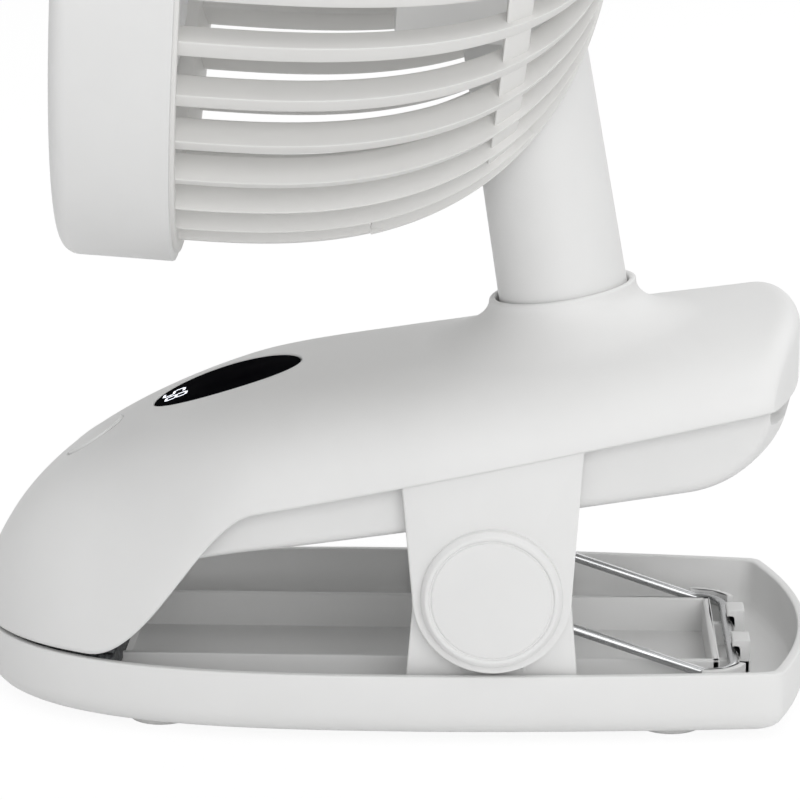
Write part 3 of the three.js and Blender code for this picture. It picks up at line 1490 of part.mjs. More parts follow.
/** Tilt pin with a low head on one side. */
function tiltPin() {
  const half = lugInner() + LUG_THICKNESS;
  const bar = barX(TILT_PIN_RADIUS, -half - FIT_GAP, half, SMALL_ROUND_STEPS);
  const head = barX(TILT_PIN_RADIUS + 1.8, -half - FIT_GAP - 1.4, -half - FIT_GAP, 20);
  return join(bar, head);
}

// ---------- Assembly ----------

const finish = {
  white: [0xe9e8e6, 0.55, 0],
  cage: [0xe4e3e0, 0.55, 0],
  blade: [0xdededc, 0.5, 0],
  rubber: [0x4a4c4e, 0.9, 0],
  foot: [0xd8d8d6, 0.8, 0],
  steel: [0xb4b6b8, 0.3, 1],
  glass: [0x08080a, 0.08, 0],
  board: [0x1f5a38, 0.6, 0],
  cell: [0x3f7fb8, 0.45, 0],
  dark: [0x2c2d2f, 0.6, 0],
};

/** A named mesh with its own material. */
function piece(name, shape, kind) {
  const geometry = shape instanceof THREE.BufferGeometry ? shape : toGeometry(shape);
  const [color, roughness, metalness] = finish[kind];
  const material = new THREE.MeshStandardMaterial({ color, roughness, metalness });
  const mesh = new THREE.Mesh(geometry, material);
  mesh.name = name;
  return mesh;
}

/** A mesh moved to its place. */
function placed(mesh, x, y, z) {
  mesh.position.set(x, y, z);
  return mesh;
}

function baseGroup() {
  const base = new THREE.Group();
  base.add(piece('base_tray', baseTray(), 'white'));
  base.add(piece('lower_pad', lowerPad(), 'rubber'));
  footPlaces().forEach(([name, x, y]) => {
    base.add(placed(piece(`foot_${name}`, foot(), 'foot'), x, y, 0));
  });
  base.add(placed(piece('pivot_pin', pivotPin(), 'steel'), 0, 0, PIVOT_HEIGHT));
  base.add(placed(piece('clip_spring', clipSpring(), 'steel'), 0, 0, PIVOT_HEIGHT));
  return base;
}

function jawGroup() {
  const jaw = new THREE.Group();
  jaw.add(piece('top_shell', topShell(), 'white'));
  jaw.add(piece('belly_cover', bellyCover(), 'white'));
  jaw.add(piece('upper_pad', upperPad(), 'rubber'));
  jaw.add(piece('pivot_cap_right', pivotCap(), 'white'));
  jaw.add(piece('pivot_cap_left', pivotCap().mirror([1, 0, 0]), 'white'));
  jaw.add(piece('display_window', displayWindow(), 'glass'));
  jaw.add(piece('digit_module', digitModule(), 'dark'));
  jaw.add(piece('power_button', powerButton(), 'white'));
  cellPlaces().forEach(([name, y, z]) => {
    jaw.add(piece(`battery_cell_${name}`, batteryCell(y, z), 'cell'));
  });
  jaw.add(piece('main_board', mainBoard(), 'board'));
  jaw.add(piece('charge_socket', chargeSocket(), 'steel'));
  coverScrewPlaces().forEach(([name, x, y]) => {
    const mesh = piece(`cover_screw_${name}`, screw(SCREW_HEAD_RADIUS, SCREW_RADIUS, 9), 'steel');
    jaw.add(placed(mesh, x, y, bellyAt(y) - 0.6));
  });
  return jaw;
}

function neckGroup() {
  const neck = new THREE.Group();
  neck.position.set(0, POST_FOOT_REACH, COLLAR_HEIGHT);
  neck.rotation.x = THREE.MathUtils.degToRad(POST_LEAN_DEGREES);
  const swivel = new THREE.Group();
  swivel.rotation.z = THREE.MathUtils.degToRad(HEAD_YAW_DEGREES);
  swivel.add(piece('neck_post', neckPost(), 'white'));
  swivel.add(piece('swivel_retainer', swivelRetainer(), 'dark'));
  swivel.add(placed(piece('tilt_pin', tiltPin(), 'steel'), 0, 0, POST_LENGTH));
  swivel.add(headGroup());
  neck.add(swivel);
  neck.add(piece('swivel_washer', swivelWasher(), 'dark'));
  return neck;
}

function headGroup() {
  const head = new THREE.Group();
  head.position.set(0, 0, POST_LENGTH);
  head.rotation.x = THREE.MathUtils.degToRad(-HEAD_TILT_DEGREES - POST_LEAN_DEGREES);
  head.add(piece('front_ring', frontRing(), 'white'));
  head.add(piece('front_grille', frontGrille(), 'cage'));
  head.add(piece('grille_cap', grilleCap(), 'white'));
  cagePanelPlaces().forEach(([name, sideX, sideZ]) => {
    head.add(piece(`cage_${name}`, cagePanel(sideX, sideZ), 'cage'));
  });
  head.add(piece('slot_frame', slotFrame(), 'cage'));
  head.add(piece('motor_bracket', motorBracket(), 'white'));
  head.add(piece('motor_case', motorCase(), 'white'));
  head.add(piece('motor_can', motorCan(), 'steel'));
  motorScrewPlaces().forEach(([name, x, z]) => {
    const mesh = piece(`motor_screw_${name}`, screw(2.4, SCREW_RADIUS, 7.5), 'steel');
    mesh.rotation.x = Math.PI / 2;
    head.add(placed(mesh, x, -MOTOR_REAR + 2.6 + 1.2 + FIT_GAP, z));
  });
  bridgeScrewPlaces().forEach(([name, x, z]) => {
    const mesh = piece(`bridge_screw_${name}`, screw(2.4, SCREW_RADIUS, 14), 'steel');
    mesh.rotation.x = Math.PI / 2;
    head.add(placed(mesh, x, cageFront + DOME_DEPTH + 1.6, z));
  });
  head.add(piece('impeller', impeller(), 'blade'));
  head.add(piece('motor_shaft', motorShaft(), 'steel'));
  return head;
}

const fan = new THREE.Group();
fan.add(baseGroup());
fan.add(jawGroup());
fan.add(neckGroup());

export default fan;
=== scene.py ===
# %% [markdown]
# # A battery clip fan
# The fan is white moulded plastic: a sprung clip that doubles as a desk base, a leaning post,
# and a round head with forty slats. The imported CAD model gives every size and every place.
# This script lays smooth surfaces over the visible solids and gives each one its finish.
# Lengths are written in millimetres, as in the CAD, and become metres when a mesh is made.

import json
import math

import bmesh
import bpy
import numpy as np
from mathutils import Matrix, Vector

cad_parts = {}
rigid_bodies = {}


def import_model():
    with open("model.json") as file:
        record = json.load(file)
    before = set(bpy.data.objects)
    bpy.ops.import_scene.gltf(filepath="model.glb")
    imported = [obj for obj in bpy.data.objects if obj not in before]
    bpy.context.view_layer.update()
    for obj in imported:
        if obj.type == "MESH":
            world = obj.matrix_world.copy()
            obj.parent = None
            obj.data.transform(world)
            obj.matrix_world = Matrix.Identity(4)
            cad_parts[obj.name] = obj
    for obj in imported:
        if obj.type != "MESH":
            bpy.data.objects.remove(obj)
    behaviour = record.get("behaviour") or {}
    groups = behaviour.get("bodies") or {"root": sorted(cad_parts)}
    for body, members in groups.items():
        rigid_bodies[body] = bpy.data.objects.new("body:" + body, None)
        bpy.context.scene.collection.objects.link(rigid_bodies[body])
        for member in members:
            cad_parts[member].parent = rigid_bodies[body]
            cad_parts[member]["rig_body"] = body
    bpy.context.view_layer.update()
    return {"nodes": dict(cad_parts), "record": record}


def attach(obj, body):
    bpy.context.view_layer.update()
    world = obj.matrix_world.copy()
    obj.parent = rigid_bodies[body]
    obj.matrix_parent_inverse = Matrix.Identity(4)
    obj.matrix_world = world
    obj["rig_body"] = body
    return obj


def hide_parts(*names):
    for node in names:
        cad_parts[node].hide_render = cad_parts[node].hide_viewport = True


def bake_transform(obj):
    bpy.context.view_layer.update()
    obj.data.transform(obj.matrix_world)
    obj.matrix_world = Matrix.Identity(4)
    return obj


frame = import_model()

# %% [markdown]
# ## Camera
# The photograph is a close view from the fan's side, a little from above. Its vanishing lines
# give the camera's place, and a long lens of 144 mm gives its weak perspective.

# %% The camera
camera_data = bpy.data.cameras.new("camera")
camera_data.lens = 144
camera_data.sensor_width = 36
camera_data.clip_start = 0.01
camera = bpy.data.objects.new("camera", camera_data)
bpy.context.scene.collection.objects.link(camera)
forward = Vector((-0.9685, -0.0423, -0.2453)).normalized()
rightward = Vector((-0.0436, 0.9990, 0)).normalized()
upward = rightward.cross(forward).normalized()
camera.matrix_world = Matrix.Translation((0.6457, 0.0082, 0.2218)) @ Matrix(
    (rightward, upward, -forward)
).transposed().to_4x4()
bpy.context.scene.camera = camera
print("camera looks along", [round(v, 3) for v in forward])

# %% [markdown]
# ## Numbers into meshes
# A surface is a table of points, one row per station and one column per step round it.
# Neighbours in the table make four-sided faces. Whole tables are worked out at once with
# numpy, and one helper puts them into a mesh.

# %% Helpers for surfaces
MM = 0.001


def grid_faces(rows, columns, closed=True):
    """Faces between neighbouring rows and columns of a table; closed joins last column to first."""
    steps = columns if closed else columns - 1
    r, c = np.meshgrid(np.arange(rows - 1), np.arange(steps), indexing="ij")
    n = (c + 1) % columns
    here, below = r * columns, (r + 1) * columns
    return np.stack([here + c, here + n, below + n, below + c], -1).reshape(-1, 4)


def table_mesh(table, capped=True):
    """Points and faces of a table of points; capped closes its first and last row by a fan each."""
    rows, columns = table.shape[:2]
    points, faces = table.reshape(-1, 3), [grid_faces(rows, columns)]
    if capped:
        points = np.vstack([points, table[0].mean(0), table[-1].mean(0)])
        step = np.arange(columns)
        following = (step + 1) % columns
        last = (rows - 1) * columns
        first_hub = np.full(columns, rows * columns)
        last_hub = first_hub + 1
        faces.append(np.stack([following, step, first_hub, first_hub], -1))
        faces.append(np.stack([last + step, last + following, last_hub, last_hub], -1))
    return points, np.vstack(faces)


def together(*parts):
    """Several sets of points and faces as one."""
    starts = np.cumsum([0] + [len(points) for points, _ in parts])
    return np.vstack([points for points, _ in parts]), np.vstack(
        [faces + start for (_, faces), start in zip(parts, starts)]
    )


def outwards(points, faces):
    """Turns a closed surface over if the volume it encloses comes out negative."""
    corner = points[faces]
    one = np.einsum("ij,ij->i", corner[:, 0], np.cross(corner[:, 1], corner[:, 2]))
    two = np.einsum("ij,ij->i", corner[:, 0], np.cross(corner[:, 2], corner[:, 3]))
    return faces if (one + two).sum() > 0 else faces[:, ::-1]


def solid(table, capped=True):
    """A closed body from a table of points, with its faces outwards."""
    points, faces = table_mesh(table, capped)
    return points, outwards(points, faces)


def make_piece(name, surface, body, slot, *stands_for, crease=40):
    """A mesh object from points in millimetres, smooth up to a crease angle in degrees."""
    points, faces = surface
    mesh = bpy.data.meshes.new(name)
    triangles = faces[:, 2] == faces[:, 3]
    same = (faces[:, 0] == faces[:, 1]) | (faces[:, 3] == faces[:, 0])
    plain = [tuple(f) for f in faces[~triangles & ~same].tolist()]
    plain += [tuple(f[:3]) for f in faces[triangles].tolist()]
    plain += [tuple(f[1:]) for f in faces[~triangles & same].tolist()]
    mesh.from_pydata((points * MM).tolist(), [], plain)
    mesh.update()
    merged = bmesh_merged(mesh)
    merged.shade_smooth()
    merged.set_sharp_from_angle(angle=math.radians(crease))
    piece = bpy.data.objects.new(name, merged)
    bpy.context.scene.collection.objects.link(piece)
    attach(piece, body)
    if stands_for:
        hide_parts(*stands_for)
    dress(piece, slot)
    print(f"{name}: {len(merged.polygons)} faces")
    return piece


def bmesh_merged(mesh):
    """The same mesh with points within 0.001 mm joined and empty faces dropped."""
    work = bmesh.new()
    work.from_mesh(mesh)
    bmesh.ops.remove_doubles(work, verts=work.verts, dist=1e-6)
    bmesh.ops.dissolve_degenerate(work, edges=work.edges, dist=1e-7)
    work.to_mesh(mesh)
    work.free()
    return mesh


# %% [markdown]
# ## Finishes
# Nearly everything is one white plastic with a fine moulded grain, so its material needs a
# very fine bump, a faint change of tone and a soft gloss. Rubber has specks, steel has faint
# clouds of tone and gloss, the window is deep black. Each is a node tree on Object coordinates, in
# metres.

# %% Node helpers
materials = {}


def node_material(name, colour, roughness, metallic=0.0, specular=0.5):
    """A Principled material with its uniform values on the shader's own sockets."""
    material = bpy.data.materials.new(name)
    material.use_nodes = True
    shader = material.node_tree.nodes["Principled BSDF"]
    shader.inputs["Base Color"].default_value = (*colour, 1)
    shader.inputs["Roughness"].default_value = roughness
    shader.inputs["Metallic"].default_value = metallic
    shader.inputs["Specular IOR Level"].default_value = specular
    materials[name] = material
    return material.node_tree, shader


def noise(tree, scale, detail=2.0, stretch=(1, 1, 1)):
    """Noise on Object coordinates, with about scale patches to the metre."""
    place = tree.nodes.new("ShaderNodeTexCoord")
    turn = tree.nodes.new("ShaderNodeMapping")
    turn.inputs["Scale"].default_value = stretch
    texture = tree.nodes.new("ShaderNodeTexNoise")
    texture.inputs["Scale"].default_value = scale
    texture.inputs["Detail"].default_value = detail
    tree.links.new(place.outputs["Object"], turn.inputs["Vector"])
    tree.links.new(turn.outputs["Vector"], texture.inputs["Vector"])
    return texture.outputs["Fac"]


def tones(tree, factor, socket, low, high, ends=(0.3, 0.7)):
    """Colours or levels between low and high, by a factor."""
    ramp = tree.nodes.new("ShaderNodeValToRGB")
    ramp.color_ramp.elements[0].position, ramp.color_ramp.elements[1].position = ends
    ramp.color_ramp.elements[0].color = (*low, 1)
    ramp.color_ramp.elements[1].color = (*high, 1)
    tree.links.new(factor, ramp.inputs["Fac"])
    tree.links.new(ramp.outputs["Color"], socket)


def grain(tree, shader, factor, depth, strength=1.0):
    """Bump of a depth in metres from a factor."""
    bump = tree.nodes.new("ShaderNodeBump")
    bump.inputs["Distance"].default_value = depth
    bump.inputs["Strength"].default_value = strength
    tree.links.new(factor, bump.inputs["Height"])
    tree.links.new(bump.outputs["Normal"], shader.inputs["Normal"])


def moulded(name, colour, roughness, spread=0.012, grain_scale=2600, depth=0.00002):
    """Moulded plastic: a fine even grain, faint clouds of tone and a gloss that wanders."""
    tree, shader = node_material(name, colour, roughness)
    low = tuple(max(c - spread, 0) for c in colour)
    high = tuple(min(c + spread, 1) for c in colour)
    tones(tree, noise(tree, 45, 3), shader.inputs["Base Color"], low, high)
    dull, glossy = (roughness + 0.05,) * 3, (roughness - 0.05,) * 3
    tones(tree, noise(tree, 90, 2), shader.inputs["Roughness"], glossy, dull)
    grain(tree, shader, noise(tree, grain_scale, 1), depth, 0.35)


# %% The fan's finishes
moulded("white_shell", (0.80, 0.80, 0.795), 0.52)
moulded("white_cage", (0.78, 0.775, 0.76), 0.55)
moulded("white_blade", (0.74, 0.74, 0.74), 0.42, depth=0.00001)
moulded("pale_foot", (0.76, 0.76, 0.75), 0.7, grain_scale=1800)
moulded("dark_plastic", (0.03, 0.03, 0.033), 0.5, spread=0.004)

tree, shader = node_material("grey_pad", (0.085, 0.09, 0.095), 0.85)
tones(tree, noise(tree, 1500, 2), shader.inputs["Base Color"],
      (0.05, 0.054, 0.058), (0.15, 0.155, 0.16), (0.42, 0.62))
grain(tree, shader, noise(tree, 1500, 2), 0.00008, 0.6)

tree, shader = node_material("steel", (0.55, 0.56, 0.57), 0.28, metallic=1.0)
tones(tree, noise(tree, 200, 2), shader.inputs["Roughness"], (0.22,) * 3, (0.3,) * 3)
tones(tree, noise(tree, 120, 2), shader.inputs["Base Color"],
      (0.40, 0.405, 0.41), (0.47, 0.475, 0.48))
grain(tree, shader, noise(tree, 600, 1), 0.000003, 0.1)

tree, shader = node_material("black_window", (0.004, 0.004, 0.005), 0.3, specular=0.0)
tones(tree, noise(tree, 60, 2), shader.inputs["Base Color"],
      (0.003, 0.003, 0.004), (0.007, 0.007, 0.008))

tree, shader = node_material("circuit_board", (0.01, 0.10, 0.03), 0.3)
tones(tree, noise(tree, 500, 4), shader.inputs["Base Color"],
      (0.008, 0.085, 0.025), (0.015, 0.14, 0.045))
grain(tree, shader, noise(tree, 900, 1), 0.00003, 0.3)

tree, shader = node_material("cell_sleeve", (0.02, 0.10, 0.28), 0.3)
tones(tree, noise(tree, 220, 2), shader.inputs["Base Color"],
      (0.018, 0.09, 0.25), (0.025, 0.12, 0.31))
grain(tree, shader, noise(tree, 400, 2, (1, 0.2, 0.2)), 0.00003, 0.3)

tree, shader = node_material("lit_digit", (0.9, 0.9, 0.92), 0.4)
shader.inputs["Emission Color"].default_value = (0.86, 0.9, 1.0, 1)
shader.inputs["Emission Strength"].default_value = 0.9
tones(tree, noise(tree, 300, 1), shader.inputs["Base Color"],
      (0.85, 0.85, 0.88), (0.92, 0.92, 0.94))
print("finishes:", sorted(materials))


def dress(piece, finish):
    """Gives an object one material."""
    piece.data.materials.clear()
    piece.data.materials.append(materials[finish])


# %% Every CAD solid gets the finish of its own slot
slot_of = {entry["node"]: entry["material_slot"] for entry in frame["record"]["subparts"]}
for node, solid_object in frame["nodes"].items():
    dress(solid_object, slot_of[node])
print(len(slot_of), "solids dressed")

# %% [markdown]
# ## The clip's outline
# Seen from above, the tray and the jaw share one outline: a full round nose, nearly straight
# sides that taper a little, and a rear edge that bows out. It is a formula in the distance
# along Y, so every level of the tray and every section of the jaw can ask for its own width.

# %% The outline as formulas
HALF_WIDTH, WIDEST_Y, NOSE_REACH = 44.6, -17, 90
REAR_Y, REAR_HALF_WIDTH, REAR_BOW = 58, 39.5, 7.3
PIVOT_HEIGHT = 29.3


def smooth_step(value, low, high):
    """0 below low, 1 above high, and the cubic 3t^2-2t^3 between."""
    t = np.clip((value - low) / (high - low), 0, 1)
    return t * t * (3 - 2 * t)


def half_width(y, inset=0.0):
    """Nose: w(1-a^3)^(1/2.2) with a the share of the way to the tip; rear: w less 5.1 b^1.6."""
    ahead = np.clip((WIDEST_Y - y) / (NOSE_REACH - inset), 0, 1)
    behind = np.clip((y - WIDEST_Y) / 75, 0, 1)
    return (HALF_WIDTH - inset) * (1 - ahead**3) ** (1 / 2.2) - 5.1 * behind**1.6


def outline(inset):
    """Half the loop, from the nose's tip round a corner to the rear's middle, and its mirror."""
    turn = np.linspace(0, np.pi / 2, 49)
    nose = np.stack([
        (HALF_WIDTH - inset) * np.sin(turn) ** (2 / 2.2),
        WIDEST_Y - (NOSE_REACH - inset) * np.cos(turn) ** (2 / 3),
    ], -1)
    corner_y = REAR_Y - inset - 2.43
    side_y = np.linspace(WIDEST_Y, corner_y, 24)[1:]
    side = np.stack([half_width(side_y, inset), side_y], -1)
    share = np.linspace(0.955, 0, 22)
    rear_y = REAR_Y - inset + REAR_BOW * (1 - share**2)
    rear = np.stack([(REAR_HALF_WIDTH - inset) * share, rear_y], -1)
    t = np.linspace(0, 1, 8)[1:-1, None]
    knee = np.array([[REAR_HALF_WIDTH - inset, REAR_Y - inset]])
    corner = (1 - t) ** 2 * side[-1] + 2 * t * (1 - t) * knee + t**2 * rear[0]
    half = np.vstack([nose, side, corner, rear])
    return np.vstack([half, half[-2:0:-1] * [-1, 1]])


def stack(levels):
    """A table of the outline at levels, each a height and an inset."""
    count = len(outline(0))
    return np.stack([
        np.column_stack([outline(inset), np.full(count, z)]) for z, inset in levels
    ])


widest = 2 * float(outline(0)[:, 0].max())
print("outline has", len(outline(0)), "points, widest", round(widest, 1), "mm")

# %% [markdown]
# ## Blocks, plates and turned parts
# Ribs, ears and hooks are plates with rounded edges: an outline carried a little way, with
# its first and last rows drawn in by the edge's radius. Caps, feet and rings are turned: a
# profile of radius and place goes round an axis.

# %% Plates and turned bodies
def drawn_in(loop, amount):
    """A flat loop moved inwards, each corner along the mean of its two edges' normals."""
    following, before = np.roll(loop, -1, 0), np.roll(loop, 1, 0)
    edge_out, edge_in = following - loop, loop - before
    edge_out /= np.linalg.norm(edge_out, axis=1)[:, None] + 1e-12
    edge_in /= np.linalg.norm(edge_in, axis=1)[:, None] + 1e-12
    normal = np.column_stack([-(edge_out + edge_in)[:, 1], (edge_out + edge_in)[:, 0]])
    normal /= np.linalg.norm(normal, axis=1)[:, None] + 1e-12
    area = np.sum(loop[:, 0] * following[:, 1] - following[:, 0] * loop[:, 1])
    return loop + normal * amount * np.sign(area)


def softened(corners, radius, steps=3):
    """A flat loop with each corner replaced by a short curve between points a radius away."""
    corners = np.asarray(corners, float)
    towards = np.roll(corners, 1, 0) - corners
    away = np.roll(corners, -1, 0) - corners
    near = np.minimum(radius, 0.45 * np.linalg.norm(towards, axis=1))[:, None]
    far = np.minimum(radius, 0.45 * np.linalg.norm(away, axis=1))[:, None]
    first = corners + towards / np.linalg.norm(towards, axis=1)[:, None] * near
    last = corners + away / np.linalg.norm(away, axis=1)[:, None] * far
    t = np.linspace(0, 1, steps + 1)[None, :, None]
    start, middle, end = first[:, None], corners[:, None], last[:, None]
    return ((1 - t) ** 2 * start + 2 * t * (1 - t) * middle + t**2 * end).reshape(-1, 2)


def plate(loop, low, high, axis, edge=0.3):
    """A flat loop carried along an axis between two levels, with rounded edges."""
    loop = np.asarray(loop, float)
    turn = np.linspace(0, np.pi / 2, 4)
    drawn, short = edge * (1 - np.cos(turn)), edge * (1 - np.sin(turn))
    amounts = np.concatenate([drawn[::-1], drawn])
    levels = np.concatenate([low + short[::-1], high - short])
    flat = np.stack([drawn_in(loop, a) for a in amounts])
    table = np.empty((*flat.shape[:2], 3))
    others = [i for i in range(3) if i != axis]
    table[..., others] = flat
    table[..., axis] = levels[:, None]
    return solid(table)


def box_loop(x0, x1, y0, y1, radius=0.4):
    """A rectangle's loop with softened corners."""
    return softened([[x0, y0], [x1, y0], [x1, y1], [x0, y1]], radius)


def turned(profile, steps=96, axis="y"):
    """Profile pairs of radius and place, carried round an axis by r cos and r sin."""
    profile = np.asarray(profile, float)
    angle = np.linspace(0, 2 * np.pi, steps, endpoint=False)
    radius, place = np.meshgrid(profile[:, 0], angle, indexing="ij")[0], profile[:, 1]
    a, b = radius * np.cos(angle), radius * np.sin(angle)
    c = np.repeat(place[:, None], steps, 1)
    order = {"x": (c, a, b), "y": (b, c, a), "z": (a, b, c)}[axis]
    return solid(np.stack(order, -1), capped=False)


def fine(profile, radius=0.4, steps=3, loop=False):
    """A profile with its corners softened; an open one keeps its two ends."""
    profile = np.asarray(profile, float)
    soft = softened(profile, radius, steps)
    if loop:
        return np.vstack([soft, soft[:1]])
    count = steps + 1
    return np.vstack([profile[:1], soft[count:-count], profile[-1:]])


# %% [markdown]
# ## The jaw's top shell
# The shell is one broad arch that grows from the nose to the rear, with a flared collar round
# the post's foot and openings for the button, the display and the charging socket. Cutting
# the openings afterwards would leave ragged shading. Instead the table of points is rebuilt
# round each opening: a block of cells is taken out, and rings of points lead from the
# block's edge to the opening's own loop, always lying on the arch's formula. So the skin
# stays one smooth sheet, and a wall thickness is given to it at the end.

# %% The arch as a formula
SHELL_REAR = 54.8


def lip(y):
    """The shell's lower edge: low round the nose, then a smooth climb to a sloping line."""
    return 14 + (55.3 + 0.2055 * y - 14) * smooth_step(y, -81.5, -47)


def crest(y):
    """The shell's top: a straight slope, and in front of y=-30 the quarter curve sqrt(1-a^2.5)."""
    back = 72.9 + 0.149 * y
    ahead = np.clip((-30 - y) / 77, 0, 1)
    return np.where(y >= -30, back, 17 + (back - 17) * np.sqrt(np.maximum(1 - ahead**2.5, 0)))


def bulge(y):
    """How far the middle of a section stands behind its sides."""
    return REAR_BOW * smooth_step(y, 0, SHELL_REAR)


def end_drop(y):
    """How far the skin comes in over the last 5 mm before the rear face, by a quarter circle."""
    into = np.clip((y - (SHELL_REAR - 5)) / 5, 0, 1)
    return 5 * (1 - np.sqrt(1 - into**2))


def arch_height(x, station):
    """Height of the arch over x in a section: lip plus rise times sqrt(1-|x/w|^3.4)."""
    width = np.maximum(half_width(station) - 0.14 * end_drop(station), 0.05)
    top = np.maximum(crest(station) - 0.8 * end_drop(station), lip(station) + 1)
    share = np.clip(np.abs(x) / width, 0, 1)
    return lip(station) + (top - lip(station)) * np.sqrt(1 - share**3.4)


def shell_height(x, y):
    """Height of the shell over a point; its section is found by repeated correction."""
    station = y - bulge(y) * 0.9
    for _ in range(14):
        share = np.clip(np.abs(x) / np.maximum(half_width(station), 0.05), 0, 1)
        station = 0.5 * station + 0.5 * (y - bulge(station) * (1 - share**2))
    return arch_height(x, station)


def arch_points(station, share):
    """Points of the arch: x is a share of the width, y adds the bulge, z is the arch's height."""
    width = np.maximum(half_width(station) - 0.14 * end_drop(station), 0.05)
    x = width * share
    return np.stack([x, station + bulge(station) * (1 - share**2), arch_height(x, station)], -1)


# %% The shell's table of points
across = np.linspace(-1, 1, 121)
across = np.sign(across) * (1 - (1 - np.abs(across)) ** 2.1)
nose_part = -107 + 37 * (1 - np.cos(np.linspace(0, np.pi / 2, 37)))
stations = np.concatenate([
    nose_part,
    np.linspace(-70, SHELL_REAR - 5, 96)[1:],
    SHELL_REAR - 5 + 5 * np.sin(np.linspace(0, np.pi / 2, 9)[1:]),
])
station_table, share_table = np.meshgrid(stations, across, indexing="ij")
shell_table = arch_points(station_table, share_table)
rear_rows = []
rear_centre = np.array([0, lip(np.array(SHELL_REAR))])
for part in np.linspace(1, 0, 25)[1:]:
    flat = rear_centre + (shell_table[-1][:, [0, 2]] - rear_centre) * part
    width = half_width(np.array(SHELL_REAR))
    behind = SHELL_REAR + REAR_BOW * (1 - (flat[:, 0] / width) ** 2)
    rear_rows.append(np.column_stack([flat[:, 0], behind, flat[:, 1]]))
BODY_ROWS = len(stations)
shell_table = np.concatenate([shell_table, np.stack(rear_rows)])
print("shell table", shell_table.shape)


# %% Openings in the table
def pierced(faces, columns, first_row, last_row, first_column, last_column):
    """The faces outside a block of the table, and the block's border as a loop of point numbers."""
    row, column = faces[:, 0] // columns, faces[:, 0] % columns
    inside = (row >= first_row) & (row < last_row)
    inside &= (column >= first_column) & (column < last_column)
    top = first_row * columns + np.arange(first_column, last_column)
    right = np.arange(first_row, last_row) * columns + last_column
    bottom = last_row * columns + np.arange(last_column, first_column, -1)
    left = np.arange(last_row, first_row, -1) * columns + first_column
    return faces[~inside], np.concatenate([top, right, bottom, left])


def ring_faces(border, count, start):
    """Faces from a border loop inwards through rings of new points that start at a number."""
    size = len(border)
    numbers = np.vstack([border, start + np.arange(count * size).reshape(count, size)])
    following = np.roll(numbers, -1, 1)
    return np.stack([numbers[:-1], following[:-1], following[1:], numbers[1:]], -1).reshape(-1, 4)


def block_round(table, rows, middle, reach, plane):
    """Row and column limits of the cells within a reach of a middle, in two coordinates."""
    near = np.abs(table[rows[0]:rows[1], :, plane[0]] - middle[0]) < reach[0]
    near &= np.abs(table[rows[0]:rows[1], :, plane[1]] - middle[1]) < reach[1]
    found_rows, found_columns = np.nonzero(near)
    return (found_rows.min() + rows[0] - 1, found_rows.max() + rows[0] + 1,
            found_columns.min() - 1, found_columns.max() + 1)


shell_points = shell_table.reshape(-1, 3)
shell_faces = grid_faces(*shell_table.shape[:2], closed=False)


def open_up(middle, radii, reach, rows, plane, lift, rings=6):
    """Rebuilds the skin round an elliptical opening; lift puts flat points on the skin."""
    global shell_points, shell_faces
    limits = block_round(shell_table, rows, middle, reach, plane)
    shell_faces, border = pierced(shell_faces, shell_table.shape[1], *limits)
    flat = shell_points[border][:, plane]
    angle = np.arctan2(*((flat - middle) / radii).T[::-1])
    loop = middle + np.column_stack([radii[0] * np.cos(angle), radii[1] * np.sin(angle)])
    share = np.linspace(0, 1, rings + 1)[1:, None, None]
    rings_flat = flat * (1 - share) + loop * share
    new = lift(rings_flat)
    shell_faces = np.vstack([shell_faces, ring_faces(border, rings, len(shell_points))])
    shell_points = np.vstack([shell_points, new.reshape(-1, 3)])


def on_shell(flat):
    """Flat points of x and y, lifted to the arch."""
    return np.concatenate([flat, shell_height(flat[..., 0], flat[..., 1])[..., None]], -1)


# %% Button, display and socket openings
def crest_slope(y):
    """Rise of the crest per millimetre."""
    return float(crest(np.array(y + 0.5)) - crest(np.array(y - 0.5)))


BUTTON_Y, DISPLAY_Y = -84.0, -56.0
button_cos = math.cos(math.atan(crest_slope(BUTTON_Y)))
display_cos = math.cos(math.atan(crest_slope(DISPLAY_Y)))
button_hole, button_reach = (7.1, 7.1 * button_cos), (8.6, 7.4)
display_hole, display_reach = (12.8, 16.3 * display_cos), (14.6, 16.6)
open_up((0, BUTTON_Y), button_hole, button_reach, (0, BODY_ROWS), [0, 1], on_shell)
open_up((0, DISPLAY_Y), display_hole, display_reach, (0, BODY_ROWS), [0, 1], on_shell)


def on_rear_face(flat):
    """Flat points of x and z, set on the bowed rear face."""
    width = half_width(np.array(SHELL_REAR))
    behind = SHELL_REAR + REAR_BOW * (1 - (flat[..., 0] / width) ** 2)
    return np.stack([flat[..., 0], behind, flat[..., 1]], -1)


rear_span = (BODY_ROWS, len(shell_table))
open_up((0, 73.0), (4.9, 2.0), (6.2, 2.6), rear_span, [0, 2], on_rear_face, rings=4)

# %% The collar's flare
lean = math.radians(9.4)
post_foot = np.array([0, 13.5, 82.9])
COLLAR_RIM, COLLAR_BORE, FLARE = 15.1, 13.7, 13.0


def on_flare(flat):
    """Height over the arch falls off as (1-t^0.5)^1.25 outwards from a rim square to the post."""
    x, y = flat[..., 0], flat[..., 1] - post_foot[1]
    distance = np.hypot(x, y)
    ground = shell_height(x, flat[..., 1])
    scale = COLLAR_RIM / np.maximum(distance, 1e-6)
    rim_level = post_foot[2] + y * scale * math.tan(lean) - 0.6
    rise = rim_level - shell_height(x * scale, y * scale + post_foot[1])
    t = np.clip((distance - COLLAR_RIM) / FLARE, 0, 1)
    fall = (1 - t**0.5) ** 1.25
    return np.stack([x, flat[..., 1], ground + rise * fall], -1)


